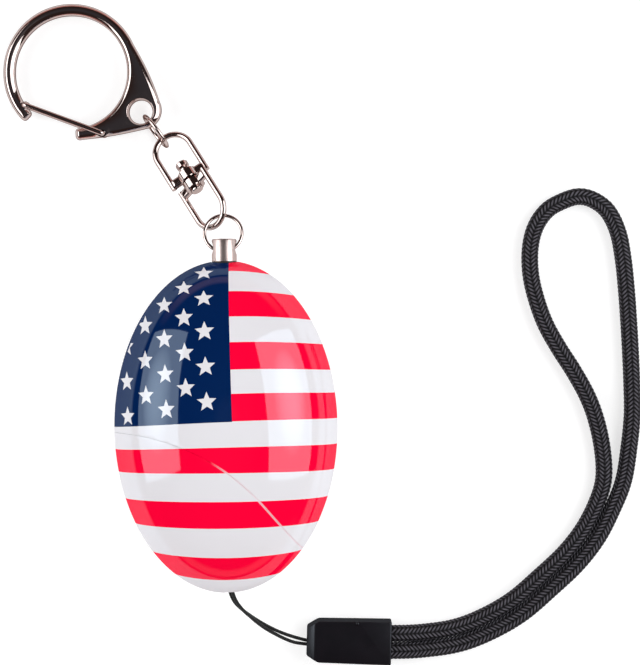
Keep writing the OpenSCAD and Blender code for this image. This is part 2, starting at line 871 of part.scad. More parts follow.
module clasp_body() {
    color("silver") at_clasp() translate([0, 0, -clasp_t / 2])
        linear_extrude(height = clasp_t) clasp_outline();
}

// Quarter turn of the gate's wire, in the plane of the gate
module gate_bend(at, turn) {
    translate([at.x, at.y, 0]) rotate([0, 0, turn]) rotate_extrude(angle = 90)
        translate([gate_bend_r, 0]) circle(d = gate_wire);
}

// Straight piece of the gate's wire, in the plane of the gate
module gate_rod(from, to) {
    run = to - from;
    translate([from.x, from.y, 0]) rotate([0, 0, atan2(run.y, run.x)]) rotate([0, 90, 0])
        cylinder(d = gate_wire, h = norm(run));
}

// Half of the gate: a stub in the pivot hole, a leg and the bend into the cross piece
module gate_half(length) {
    turn_z = gate_z - gate_bend_r;
    gate_rod([0, clasp_t / 2 - gate_pin_in], [0, turn_z]);
    gate_bend([gate_bend_r, turn_z], 90);
    gate_rod([gate_bend_r, gate_z], [length - gate_bend_r, gate_z]);
    gate_bend([length - gate_bend_r, turn_z], 0);
}

module clasp_gate() {
    run = gate_tip - gate_pivot;
    length = norm(run);
    turn_z = gate_z - gate_bend_r;
    color("silver") at_clasp() translate([gate_pivot.x, gate_pivot.y, 0])
        rotate([0, 0, atan2(run.y, run.x)]) rotate([90, 0, 0]) {
            gate_half(length);
            mirror([0, 1, 0]) gate_half(length);
            gate_rod([length, -turn_z], [length, turn_z]);
        }
}

// Cords

module lanyard_string() {
    color("black") tube(string_route, string_d);
}

module wrist_cord() {
    color("black") tube(cord_route, cord_d);
}

module cord_sleeve() {
    side = sleeve_width / 2;
    slim = side - sleeve_taper;
    in_x = sleeve_length - cord_depth;
    color("black") translate(sleeve_at) rotate([0, 0, sleeve_turn]) difference() {
        intersection() {
            linear_extrude(height = sleeve_t) polygon([
                [0, sleeve_chamfer.y - slim], [sleeve_chamfer.x, -slim], [sleeve_length, -side],
                [sleeve_length, side], [sleeve_chamfer.x, slim], [0, slim - sleeve_chamfer.y]
            ]);
            translate([0, side + past, 0]) rotate([90, 0, 0]) linear_extrude(height = sleeve_width + 2 * past)
                polygon([
                    [0, sleeve_bevel.y], [sleeve_bevel.x, 0], [sleeve_length, 0],
                    [sleeve_length, sleeve_t], [sleeve_bevel.x, sleeve_t], [0, sleeve_t - sleeve_bevel.y]
                ]);
        }
        for (run = [-1, 1]) {
            translate([in_x, run * cord_pitch / 2, mouth_z]) rotate([0, 90, 0])
                cylinder(d = cord_d + 2 * cord_room, h = cord_depth + past);
            translate([-past, string_mid + run * string_pitch / 2, string_mouth_z]) rotate([0, 90, 0])
                cylinder(d = string_hole, h = past + string_depth);
        }
    }
}

rear_cover();
front_upper_cover();
front_lower_cover();
battery_door();
door_screw();
case_screws();
pin_socket();
pin_seal();
pull_pin_cap();
pull_pin_plug();
switch_leaf_left();
switch_leaf_right();
circuit_board();
driver_chip();
drive_transistor();
boost_inductor();
buzzer_disc();
buzzer_ceramic();
buzzer_ring();
buzzer_leads();
battery_cells();
battery_plus_contact();
battery_minus_spring();
lanyard_bar();
pin_ring();
swivel_lower_loop();
swivel_rivet();
swivel_upper_loop();
link_ring();
clasp_body();
clasp_gate();
lanyard_string();
cord_sleeve();
wrist_cord();
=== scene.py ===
import json
import math

import bpy
from bpy.props import FloatProperty, FloatVectorProperty, PointerProperty
from mathutils import Matrix, Vector


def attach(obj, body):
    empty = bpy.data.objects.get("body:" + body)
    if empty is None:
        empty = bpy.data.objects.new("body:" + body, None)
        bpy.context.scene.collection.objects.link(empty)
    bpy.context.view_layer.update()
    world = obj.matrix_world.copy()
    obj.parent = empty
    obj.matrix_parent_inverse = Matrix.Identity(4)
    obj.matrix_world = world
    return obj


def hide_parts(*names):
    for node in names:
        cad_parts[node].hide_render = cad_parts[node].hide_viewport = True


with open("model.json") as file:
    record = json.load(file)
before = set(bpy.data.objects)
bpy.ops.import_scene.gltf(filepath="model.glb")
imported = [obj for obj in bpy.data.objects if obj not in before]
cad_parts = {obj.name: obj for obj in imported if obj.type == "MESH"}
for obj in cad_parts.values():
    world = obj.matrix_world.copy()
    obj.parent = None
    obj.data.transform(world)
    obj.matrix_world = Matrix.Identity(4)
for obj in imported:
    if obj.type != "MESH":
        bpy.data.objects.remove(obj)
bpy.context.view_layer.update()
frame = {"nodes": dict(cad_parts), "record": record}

bl_info = {
    "name": "Personal alarm",
    "version": (1, 0, 0),
    "blender": (4, 5, 0),
    "location": "3D View > Sidebar > Alarm",
    "description": "Models an egg-shaped personal alarm with its clasp and wrist cord",
    "category": "Object",
}

# Shapes are drawn in millimetres and scaled to metres when they are settled
MM = 0.001

# Points closer than the first are merged, and points closer than the second to a plane lie on it
MERGE = 1e-4
ON_PLANE = 1e-5

# Case: the height of its middle, and the gap at the seam round it
MID_Z = 14.0
SEAM = 0.1

# The curved seam across the front: centre, radius, the angle where it runs out straight, half its gap
SWOOSH_CENTER = (-22.5, -39.8)
SWOOSH_RADIUS = 39.0
SWOOSH_TURN = 51.0
SWOOSH_PLAY = 0.02

# Openings at the ends of the case: the bore for the pin's seal, and the slot for the string
PIN_BORE = 2.8
PIN_BORE_SPAN = (32.5, 40)
STRING_SLOT = ((-0.65, -36), (1.75, -29.8))
STRING_SLOT_SPAN = (12.2, 15.8)

# Sound slots across the rear: number, first place, step, half length, end radius and top
SLOT_COUNT = 5
SLOT_FIRST = 3.1
SLOT_STEP = 3.4
SLOT_REACH = 5.3
SLOT_RADIUS = 0.7
SLOT_TOP = 4.6

# Battery door on the rear: corners, ledge under it, gap round it, wall, play on the ledge, screw and tab
DOOR_LOW = (-9.575, -26.8)
DOOR_HIGH = (9.375, -12.4)
DOOR_LEDGE = 1.2
DOOR_GAP = 0.12
DOOR_WALL = 0.9
DOOR_PLAY = 0.05
DOOR_SCREW = (12.175, -19.6)
DOOR_TAB = 3.5

# Screws from the rear: places, radii of boss, head's well and shank's hole, and the tops of wells and boss
CASE_SCREWS = [(-15.5, 13.2), (15.5, 13.2), (15.5, -8.8), (-15.5, -8.8)]
BOSS_RADIUS = 2.3
WELL_RADIUS = 1.95
SHANK_RADIUS = 0.95
CASE_WELL_TOP = 8.5
DOOR_WELL_TOP = 8.2
DOOR_BOSS_TOP = 9.5

# Cutting tools reach from below the flat back to above the door
TOOL_LOW = -1
TOOL_HIGH = 12

# Keychain, as the frame places it
PIN_RING_AT = (-0.2, 38.694, 13.198)
PIN_RING_DROOP = 15.0
SWIVEL_FOOT = (-1.193, 40.752, 12.646)
SWIVEL_YAW = 31.7
SWIVEL_DIP = 20.138
SWIVEL_ROLL = 34.0
SWIVEL_SPAN = 22.5
SWIVEL_LOOP = 11.1
LINK_AT = (-14.183, 60.127, 4.122)
LINK_YAW = 36.87
LINK_STAND = 97.0
CLASP_EYE = (-17.153, 64.087, 3.8)
CLASP_TILT = 2.9

# Rings: mean radius, width of the cut in the wire, and each ring's wire radius and place of the cut
RING_MEAN = 3.75
RING_CUT = 0.06
PIN_RING_WIRE = 0.35
PIN_RING_CUT_AT = 215.0
LINK_WIRE = 0.4
LINK_CUT_AT = 180.0

# Clasp, seen from its eye: the bow, the tail, and the gate's tip and pivot
BOW_CENTER = (-14.28, 8.36)
TAIL_CENTER = (0.3, 0.4)
TAIL_RADIUS = 3.9
GATE_TIP = (-23.782, 1.707)
GATE_PIVOT = (-7.811, -4.337)

# Sleeve, and the points of the frame's routes of string and cord
SLEEVE_AT = (15.6, -44.35, 0)
SLEEVE_TURN = -2.1
STRING_ROUTE = [
    (18.767, -45.317, 3.2), (17.168, -45.258, 3.2), (15.469, -45.196, 3.2), (13, -44.8, 3.2),
    (11, -43.95, 3.7), (9.2, -42.85, 4.85), (7.4, -41.6, 6.25), (5.7, -40.1, 8), (4.2, -38.5, 9.9),
    (2.9, -37, 11.7), (1.8, -35.3, 13.3), (1.1, -33.5, 14.4), (0.8, -31.7, 15.2), (0.75, -30, 15.65),
    (0.6, -28.85, 15.15), (0.5, -28.35, 14), (0.4, -28.85, 12.85), (0.3, -30, 12.35),
    (0.25, -31.7, 12.8), (0.5, -33.5, 12.9), (1.25, -35.3, 12.1), (2.55, -36.9, 10.7), (4.15, -38.4, 9),
    (5.75, -39.75, 7.2), (7.5, -41.05, 5.5), (9.8, -42.4, 4.15), (12.4, -43.5, 3.4),
    (15.498, -44.396, 3.2), (17.197, -44.459, 3.2), (18.796, -44.517, 3.2),
]
# The height of the cord's middle where it rests on the floor
CORD_REST = 1.75
CORD_LOOP = [
    (46.8, -45.69), (53.46, -43.25), (59.98, -39.55), (65.89, -34.6), (71.34, -29.56), (75.61, -24.2),
    (78.72, -18.32), (81.07, -12.53), (82.3, -5.5), (83, 1), (83, 7), (82.8, 13.5), (82.5, 20),
    (82.1, 26.5), (81.5, 33), (80.5, 38.5), (78.5, 42.8), (75.6, 45.2), (72.5, 46), (69.2, 45.1),
    (65.9, 43.2), (63.5, 39.8), (62.4, 35.5), (62.4, 30.5), (63.4, 25.5), (65.3, 20), (68, 15),
    (71, 10.2), (73.8, 5), (75.6, 0), (76.8, -6), (77, -12), (75.5, -17), (72.7, -22.3),
    (68.8, -27.2), (63.6, -32), (58, -36.7), (52, -40.1), (46, -42.3),
]
CORD_ROUTE = [
    (22.032, -46.337, 3), (27.528, -46.539, 3), (33.024, -46.740, 3), (39.16, -46.68, 2.2),
    *((x, y, CORD_REST) for x, y in CORD_LOOP),
    (39.05, -43.2, 2.2), (33.152, -43.242, 3), (27.656, -43.041, 3), (22.160, -42.839, 3),
]

# Braid of the cord: columns round it, length and slant of a stitch, depth of its relief and how far it sinks
BRAID_COLUMNS = 8
BRAID_PITCH = 0.85
BRAID_SLANT = 1.1
BRAID_DEPTH = 0.1
BRAID_SINK = 0.015

# Print: heights at which the stripes change, from the bottom up, starting pale, and the corner's foot
STRIPE_EDGES = [
    -30.3, -25.55, -19.65, -14.35, -8.67, -3.48, 1.47, 6.59, 11.51, 16.69, 21.61, 26.63, 30.7,
]
CANTON_FOOT = STRIPE_EDGES[6]


def srgb(red, green, blue):
    """A colour written as 0 to 255 on a screen, as linear light."""
    parts = [c / 255 for c in (red, green, blue)]
    return tuple(c / 12.92 if c <= 0.04045 else ((c + 0.055) / 1.055) ** 2.4 for c in parts)


def size_property(name, description, default):
    """A size that a user would change."""
    return FloatProperty(name=name, description=description, default=default, unit="LENGTH")


def colour_property(name, description, default):
    """A colour that a user would change."""
    return FloatVectorProperty(name=name, description=description, default=default, subtype="COLOR")


class AlarmSizes(bpy.types.PropertyGroup):
    """Sizes of the alarm."""

    case_width: size_property("Case width", "Width of the egg", 0.0446)
    case_length: size_property("Case length", "Length of the egg", 0.0664)
    case_depth: size_property("Case depth", "Depth of the full egg", 0.030)
    wall: size_property("Wall", "Wall of the covers", 0.0016)
    cap_width: size_property("Cap width", "Diameter of the pin's cap", 0.005)
    clasp_bore: size_property("Clasp bore", "Inner diameter of the clasp", 0.0231)
    clasp_rim: size_property("Clasp rim", "Width of the clasp's rim", 0.00245)
    clasp_thick: size_property("Clasp thickness", "Thickness of the clasp", 0.0028)
    string_width: size_property("String width", "Diameter of the string", 0.0007)
    cord_width: size_property("Cord width", "Diameter of the wrist cord", 0.0034)
    star_size: size_property("Star size", "Radius of a printed star", 0.002)


class AlarmColours(bpy.types.PropertyGroup):
    """Colours of the alarm."""

    stripe_red: colour_property("Stripe red", "Red of the printed stripes", srgb(255, 0, 56))
    print_white: colour_property("Print white", "White of the stripes and stars", srgb(229, 228, 232))
    canton_navy: colour_property("Canton navy", "Blue behind the stars", srgb(0, 32, 80))
    plate: colour_property("Plate", "Plated metal of the keychain", (0.58, 0.48, 0.455))
    moulding: colour_property("Moulding", "Black plastic of the sleeve", srgb(15, 14, 17))
    yarn: colour_property("Yarn", "Black yarn of the wrist cord", srgb(92, 90, 97))


def mm(value):
    """A size in metres, as millimetres."""
    return value / MM


# Materials


class Value:
    """An output socket. Sums on it add Math nodes to its finish."""

    def __init__(self, finish, socket):
        self.finish = finish
        self.socket = socket

    def __add__(self, other):
        return self.finish.math("ADD", self, other)

    def __sub__(self, other):
        return self.finish.math("SUBTRACT", self, other)

    def __rsub__(self, other):
        return self.finish.math("SUBTRACT", other, self)

    def __mul__(self, other):
        return self.finish.math("MULTIPLY", self, other)

    def __truediv__(self, other):
        return self.finish.math("DIVIDE", self, other)

    def __rtruediv__(self, other):
        return self.finish.math("DIVIDE", other, self)

    def __mod__(self, other):
        return self.finish.math("FLOORED_MODULO", self, other)

    def __pow__(self, other):
        return self.finish.math("POWER", self, other)

    def __gt__(self, other):
        return self.finish.math("GREATER_THAN", self, other)

    def __lt__(self, other):
        return self.finish.math("LESS_THAN", self, other)

    def __abs__(self):
        return self.finish.math("ABSOLUTE", self)

    __radd__ = __add__
    __rmul__ = __mul__


class Finish:
    """A node tree with a few ways to add to it."""

    def __init__(self, tree):
        self.tree = tree

    def node(self, kind, settings=None, inputs=None, output=0):
        """Add a node, set it up, feed its inputs and return one of its outputs."""
        node = self.tree.nodes.new(kind)
        for key, value in (settings or {}).items():
            if key == "stops":
                set_stops(node.color_ramp, value)
            elif key == "interpolation":
                node.color_ramp.interpolation = value
            else:
                setattr(node, key, value)
        for key, value in (inputs or {}).items():
            self.feed(node.inputs[key], value)
        return Value(self, node.outputs[output])

    def feed(self, socket, value):
        """Link a value to a socket, or set the socket to a number or colour."""
        if isinstance(value, Value):
            self.tree.links.new(value.socket, socket)
        elif socket.type == "RGBA" and len(value) == 3:
            socket.default_value = (*value, 1)
        else:
            socket.default_value = value

    def math(self, operation, *values):
        return self.node("ShaderNodeMath", {"operation": operation}, dict(enumerate(values)))

    def mix(self, factor, first, second):
        """A colour between two."""
        return self.node(
            "ShaderNodeMix", {"data_type": "RGBA"}, {0: factor, 6: first, 7: second}, output=2)

    def limit(self, value, low, high):
        """A value's place between two ends, from 0 to 1."""
        return self.node("ShaderNodeMapRange", None, {0: value, 1: low, 2: high})

    def between(self, share, low, high):
        """A number between two ends, by a share from 0 to 1."""
        return share * (high - low) + low

    def split(self, vector):
        """The three numbers of a vector."""
        node = self.node("ShaderNodeSeparateXYZ", None, {0: vector}).socket.node
        return [Value(self, socket) for socket in node.outputs]

    def place(self):
        """Object coordinates."""
        return self.node("ShaderNodeTexCoord", output="Object")

    def unwrapped(self):
        """A cord's own map: millimetres along it and turns round it."""
        return self.split(self.node("ShaderNodeTexCoord", output="UV"))[:2]

    def noise(self, scale, detail=2.0):
        """Noise from 0 to 1, with its scale in cells to the millimetre."""
        return self.node(
            "ShaderNodeTexNoise", None,
            {"Vector": self.place(), "Scale": scale / MM, "Detail": detail})

    def bump(self, height, depth):
        """A normal from a height of 0 to 1 that stands for a depth in millimetres."""
        return self.node(
            "ShaderNodeBump", None, {"Height": height, "Distance": depth * MM, "Strength": 1.0})

    def surface(self, shader):
        """Show a shader on the surface."""
        self.feed(self.tree.nodes["Material Output"].inputs["Surface"], shader)


def set_stops(ramp, stops):
    """Set a ramp's stops from pairs of place and colour."""
    while len(ramp.elements) < len(stops):
        ramp.elements.new(1.0)
    for element, (place, colour) in zip(ramp.elements, stops):
        element.position = place
        element.color = colour


# The materials made so far, by name
made = {}


def coat(finish, shader, **sockets):
    """Feed the shader's sockets, named with _ for each space."""
    for socket, value in sockets.items():
        finish.feed(shader.inputs[socket.replace("_", " ")], value)


def new_material(name, **constants):
    """A new material and its finish, with constants on its shader's sockets."""
    material = made[name] = bpy.data.materials.new(name)
    material.use_nodes = True
    finish = Finish(material.node_tree)
    shader = material.node_tree.nodes["Principled BSDF"]
    coat(finish, shader, **constants)
    return material, finish, shader


def scaled(colour, share):
    """A colour, darker or lighter by a share."""
    return tuple(c * share for c in colour)


def even_gloss(finish, shader, share, tint, rough, normal):
    """Lay a thin gloss over the shader, the same at every angle."""
    coat(finish, shader, Normal=normal)
    gloss = finish.node(
        "ShaderNodeBsdfPrincipled", None,
        {"Base Color": tint, "Metallic": 1.0, "Roughness": rough, "Normal": normal})
    finish.surface(finish.node(
        "ShaderNodeMixShader", None, {0: share, 1: Value(finish, shader.outputs[0]), 2: gloss}))


def star_mask(finish, x, y, size):
    """White stars in slanted columns, as a mask."""
    column_step, column_start, lean, upright_at = 4.0, -3.3, 0.033, 13
    row_step, row_start, drop, lowest = 6.837, 25.91, 4.145, 1.9
    crowded_from, crowding = 22, 0.03
    narrowing, slant, waist = 0.06, 0.06, 0.44
    across = x + (y - upright_at) * lean
    column = finish.math("ROUND", (column_start - across) / column_step)
    dx = across - (column_start - column * column_step)
    above = finish.math("MAXIMUM", y - crowded_from, 0.0)
    height = y + above * above * crowding + column * drop - row_start
    row = finish.math("ROUND", height / row_step)
    dy = height - row * row_step
    px = dx / (1 - column * narrowing)
    py = dy - dx * slant
    reach = finish.math("SQRT", px * px + py * py)
    sector = math.radians(72)
    angle = finish.math("ARCTAN2", px, py) + sector / 2
    fold = abs(angle % sector - sector / 2)
    inner = size * waist
    edge_x = inner * math.cos(sector / 2) - size
    edge_y = inner * math.sin(sector / 2)
    along = finish.math("COSINE", fold) * reach - size
    side = finish.math("SINE", fold) * reach
    center = row * row_step - column * drop + row_start
    kept = (column > -0.5) * (center > lowest)
    return (along * edge_y - side * edge_x < 0.0) * kept


def seam_mask(finish, x, y):
    """A pale pink line along the straight run of the curved seam, as a mask: bare plastic at the print's
    edge, and painted shade of the gap where it crosses the white stripes.
    """
    core, fade = 0.1, 0.26
    begins_at, full_at = -2.5, 0.5
    cx, cy = SWOOSH_CENTER
    end = math.radians(90 - SWOOSH_TURN)
    ex, ey = cx + SWOOSH_RADIUS * math.cos(end), cy + SWOOSH_RADIUS * math.sin(end)
    past = (x - ex) * math.sin(end) - (y - ey) * math.cos(end) > 0.0
    straight = (x - ex) * math.cos(end) + (y - ey) * math.sin(end)
    curved = ((x - cx) ** 2.0 + (y - cy) ** 2.0) ** 0.5 - SWOOSH_RADIUS
    gap = curved + (straight - curved) * past
    return (1 - finish.limit(abs(gap), core, fade)) * finish.limit(x, begins_at, full_at)


def stripe_ramp(finish, line):
    """The printed stripes along a height, 0 where they are pale and 1 where they are red."""
    low, high = -40.0, 40.0
    stops = [(0.0, (0, 0, 0, 1))]
    for i, edge in enumerate(STRIPE_EDGES):
        shade = 1 - i % 2
        stops.append(((edge - low) / (high - low), (shade, shade, shade, 1)))
    return finish.node(
        "ShaderNodeValToRGB", {"interpolation": "CONSTANT", "stops": stops},
        {0: (line - low) / (high - low)})


def print_material(name):
    """Glossy covers, printed with stripes and a starred corner that bow with the egg."""
    colours = bpy.context.scene.alarm_colours
    sizes = bpy.context.scene.alarm_sizes
    half_width, half_length = mm(sizes.case_width) / 2, mm(sizes.case_length) / 2
    bend, ease, arch = -1.05e-4, 1.15, 0.0012
    lean, lean_from, lean_to = 0.03, -9.0, 1.5
    corner_x, corner_y, corner_lean = 1.08, 30, 0.0262
    plain_rim = 0.955
    # Pale pink of the seam's line: bare plastic, with painted shade of the gap, as it reads darker than the
    # white print
    bare_and_gap_shade, bare_and_gap_shade_share = srgb(236, 214, 220), 0.75
    material, finish, shader = new_material(name, Specular_IOR_Level=0.0)
    x, y, _ = [part * mm(1) for part in finish.split(finish.place())]
    bow = y * bend / (ease - y * y / half_length ** 2) - arch
    line = y - finish.limit(y, lean_from, lean_to) * lean * x - bow * x * x
    canton = (x < corner_x + (corner_y - y) * corner_lean) * (line > CANTON_FOOT)
    inside = x * x / half_width ** 2 + y * y / half_length ** 2 < plain_rim
    star = star_mask(finish, x, y, mm(sizes.star_size)) * canton * inside
    white = tuple(colours.print_white)
    white = finish.mix(finish.noise(scale=0.12), white, scaled(white, 0.97))
    colour = finish.mix(stripe_ramp(finish, line), white, tuple(colours.stripe_red))
    colour = finish.mix(canton, colour, tuple(colours.canton_navy))
    colour = finish.mix(star, colour, white)
    # Lay the seam's line of bare plastic and painted gap shade over the print
    colour = finish.mix(seam_mask(finish, x, y) * bare_and_gap_shade_share, colour, bare_and_gap_shade)
    rough = finish.between(finish.noise(scale=0.8), 0.03, 0.06)
    coat(finish, shader, Base_Color=colour, Roughness=rough)
    even_gloss(finish, shader, share=0.052, tint=(0.68, 0.85, 1.0), rough=rough,
               normal=finish.bump(finish.noise(scale=0.16, detail=1.0), depth=0.012))
    return material


def grained(name, colour, shade, scale, rough, spread, bump=0.0, **constants):
    """A material between two colours in a fine grain."""
    finer = 1.7
    material, finish, shader = new_material(name, **constants)
    grain = finish.noise(scale, detail=3.0)
    coat(finish, shader, Base_Color=finish.mix(grain, colour, shade),
         Roughness=finish.noise(scale * finer) * spread + rough)
    if bump:
        coat(finish, shader, Normal=finish.bump(grain, bump))
    return material


def plate_material(name, rough, gain=1.0, edge=(0.16, 0.1, 0.09)):
    """Bright plated metal with faint handling marks, darker where it turns away."""
    cloud_rough, speck_rough, speck_from = 0.06, 0.12, 0.7
    colour = scaled(bpy.context.scene.alarm_colours.plate, gain)
    material, finish, shader = new_material(name, Metallic=1.0, Specular_Tint=edge)
    cloud = finish.noise(scale=0.5, detail=3.0)
    specks = finish.noise(scale=3.0) > speck_from
    coat(finish, shader, Base_Color=finish.mix(cloud, colour, scaled(colour, 0.92)),
         Roughness=cloud * cloud_rough + specks * speck_rough + rough,
         Normal=finish.bump(cloud, depth=0.006))
    return material


def braid_lanes(along, around, floor):
    """The phase of the stitches and the place across a column, of numbers or of shader values."""
    lane = around * float(BRAID_COLUMNS)
    across = lane % 1.0
    side = 1 - floor(lane) % 2.0 * 2
    return (along + side * (across - 0.5) * BRAID_SLANT) / BRAID_PITCH, across


def braid_material():
    """Herringbone braid: slanted stitches in columns along the cord, with painted shade darkening the
    valleys between the stitches.
    """
    yarn = tuple(bpy.context.scene.alarm_colours.yarn)
    fibre_share, patch_share, least = 0.8, 1.2, 0.1
    material, finish, shader = new_material("cord_fabric", Specular_IOR_Level=0.1)
    phase, across = braid_lanes(*finish.unwrapped(), lambda lane: finish.math("FLOOR", lane))
    stitch = abs(finish.math("SINE", phase * math.pi)) ** 3.0
    height = stitch * finish.math("SINE", across * math.pi)
    fibre = finish.noise(scale=4.0)
    patch = finish.noise(scale=1.2, detail=1.0)
    # From the yarn's colour on the stitches' crowns to nearly black where they sink: painted shade in the
    # valleys between stitches
    tone = height * (fibre * fibre_share + patch * patch_share + least)
    coat(finish, shader, Base_Color=finish.mix(tone, scaled(yarn, 0.02), yarn),
         Roughness=finish.between(fibre, 0.55, 0.75), Normal=finish.bump(height, depth=0.12))
    return material


def string_material():
    """Thin laid string, with painted shade darkening the grooves between its strands."""
    lay_pitch, lay_turns = 0.42, 2.0
    material, finish, shader = new_material("string_fabric", Specular_IOR_Level=0.25)
    u, v = finish.unwrapped()
    lay = abs(finish.math("SINE", (u / lay_pitch + v * lay_turns) * math.pi))
    # Nearly black in the grooves between the strands, lighter on their crowns: painted shade in the grooves
    coat(finish, shader, Base_Color=finish.mix(lay ** 2.0, srgb(3, 3, 3), srgb(38, 40, 40)),
         Roughness=finish.between(finish.noise(scale=3.0), 0.5, 0.65),
         Normal=finish.bump(lay, depth=0.05))
    return material


def moulding_material():
    """Satin black plastic with a fine moulded grain."""
    colour = tuple(bpy.context.scene.alarm_colours.moulding)
    cloud_tint = (1.5, 1.15, 1.3)
    cloud_rough, grain_rough, least = 0.08, 0.06, 0.24
    material, finish, shader = new_material("black_moulding", Specular_IOR_Level=0.0)
    grain = finish.noise(scale=5.0)
    cloud = finish.noise(scale=0.35)
    tone = finish.mix(cloud, colour, tuple(c * k for c, k in zip(colour, cloud_tint)))
    rough = cloud * cloud_rough + grain * grain_rough + least
    coat(finish, shader, Base_Color=tone, Roughness=rough)
    even_gloss(finish, shader, share=0.03, tint=(0.82, 0.9, 1.0), rough=rough,
               normal=finish.bump(grain, depth=0.01))
    return material


# Modelling


def clear():
    """Object mode, with nothing selected."""
    if bpy.context.mode != "OBJECT":
        bpy.ops.object.mode_set(mode="OBJECT")
    bpy.ops.object.select_all(action="DESELECT")


def take(obj):
    """Make one object the only one selected, and active."""
    clear()
    obj.select_set(True)
    bpy.context.view_layer.objects.active = obj


def edit(obj):
    """Open an object in edit mode with all of it selected."""
    take(obj)
    bpy.ops.object.mode_set(mode="EDIT")
    bpy.ops.mesh.select_all(action="SELECT")


def close():
    bpy.ops.object.mode_set(mode="OBJECT")


def close_clean():
    """Leave edit mode, with doubles merged and faces turned outwards."""
    bpy.ops.mesh.select_all(action="SELECT")
    bpy.ops.mesh.remove_doubles(threshold=MERGE)
    bpy.ops.mesh.normals_make_consistent(inside=False)
    close()


def trim(at, outward, fill=True):
    """In edit mode: cut at a plane and drop what lies outside it."""
    bpy.ops.mesh.select_all(action="SELECT")
    bpy.ops.mesh.bisect(
        plane_co=at, plane_no=outward, use_fill=fill, clear_outer=True, threshold=ON_PLANE)


def from_points(name, points, edges=(), faces=()):
    """A new mesh object from points in millimetres."""
    mesh = bpy.data.meshes.new(name)
    mesh.from_pydata([tuple(p) for p in points], list(edges), list(faces))
    obj = bpy.data.objects.new(name, mesh)
    bpy.context.scene.collection.objects.link(obj)
    return obj


def outline(name, points, closed=True):
    """A new object of edges through the points."""
    count = len(points)
    edges = [(i, (i + 1) % count) for i in range(count if closed else count - 1)]
    return from_points(name, points, edges)


def turned(name, profile, steps=64):
    """A profile of radius and height, spun round Z."""
    obj = outline(name, [(r, 0, h) for r, h in profile], closed=False)
    edit(obj)
    bpy.ops.mesh.spin(steps=steps, angle=2 * math.pi, center=(0, 0, 0), axis=(0, 0, 1))
    close_clean()
    return obj


def circle(radius, count, center=(0, 0, 0), across=(1, 0, 0), up=(0, 0, 1)):
    """Points of a circle in the plane of two directions."""
    turns = [2 * math.pi * i / count for i in range(count)]
    return [
        Vector(center) + radius * (math.cos(t) * Vector(across) + math.sin(t) * Vector(up))
        for t in turns
    ]


def arc(center, radius, start, end, count):
    """Points on a circle between two angles in degrees."""
    angles = [math.radians(start + (end - start) * i / count) for i in range(count + 1)]
    return [Vector((center[0] + radius * math.cos(a), center[1] + radius * math.sin(a))) for a in angles]


def rectangle(low, high):
    """Corners of a rectangle, from two of them."""
    (x0, y0), (x1, y1) = low, high
    return [(x0, y0), (x1, y0), (x1, y1), (x0, y1)]


def prism(name, points, low, high):
    """A flat outline, filled and extruded between two heights."""
    obj = outline(name, [(x, y, low) for x, y in points])
    edit(obj)
    bpy.ops.mesh.edge_face_add()
    bpy.ops.mesh.extrude_region_move(TRANSFORM_OT_translate={"value": (0, 0, high - low)})
    close_clean()
    return obj


def rod(name, radius, low, high, at=(0, 0), count=48):
    """An upright cylinder, as a cutting or joining tool."""
    return prism(name, [(p.x + at[0], p.y + at[1]) for p in circle(radius, count, up=(0, 1, 0))],
                 low, high)


def combine(obj, tool, operation="DIFFERENCE"):
    """Cut, join or intersect with a tool, which is then removed."""
    take(obj)
    modifier = obj.modifiers.new("combine", "BOOLEAN")
    modifier.operation = operation
    modifier.solver = "EXACT"
    modifier.object = tool
    bpy.ops.object.modifier_apply(modifier=modifier.name)
    bpy.data.objects.remove(tool)
    return obj


def soften(obj, width, segments=2, angle=30, material=-1):
    """Bevel the sharp edges."""
    take(obj)
    modifier = obj.modifiers.new("soften", "BEVEL")
    modifier.width = width
    modifier.segments = segments
    modifier.limit_method = "ANGLE"
    modifier.angle_limit = math.radians(angle)
    modifier.material = material
    bpy.ops.object.modifier_apply(modifier=modifier.name)


def move(obj, matrix):
    """Move a mesh by a matrix in millimetres."""
    obj.data.transform(matrix)
    if matrix.determinant() < 0:
        obj.data.flip_normals()
    return obj


def turn(x=0.0, y=0.0, z=0.0):
    """A turn about X, then Y, then Z, in degrees."""
    return (Matrix.Rotation(math.radians(z), 4, "Z") @ Matrix.Rotation(math.radians(y), 4, "Y")
            @ Matrix.Rotation(math.radians(x), 4, "X"))


def along_case():
    """From a shape round Z to one round the case's long axis."""
    return Matrix.Translation((0, 0, MID_Z)) @ turn(x=-90)


def settle(obj, body, nodes, materials, smooth=35):
    """Scale to metres, shade, paint and tie a finished piece to the frame."""
    obj.data.transform(Matrix.Scale(MM, 4))
    if smooth:
        take(obj)
        bpy.ops.object.shade_smooth_by_angle(angle=math.radians(smooth))
    obj.data.materials.clear()
    for material in materials:
        obj.data.materials.append(material)
    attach(obj, body)
    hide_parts(*nodes)


# Cords


def smooth_route(points, step):
    """Points close together on a smooth curve through the route."""
    route = [Vector(p) for p in points]
    ends = [2 * route[0] - route[1]] + route + [2 * route[-1] - route[-2]]
    curve = []
    for a, b, c, d in zip(ends, ends[1:], ends[2:], ends[3:]):
        count = max(2, round((c - b).length / step))
        for i in range(count):
            t = i / count
            curve.append(0.5 * (2 * b + (c - a) * t + (2 * a - 5 * b + 4 * c - d) * t * t
                                + (3 * b - a - 3 * c + d) * t ** 3))
    return curve + [route[-1]]


def route_length(curve):
    return sum((b - a).length for a, b in zip(curve, curve[1:]))


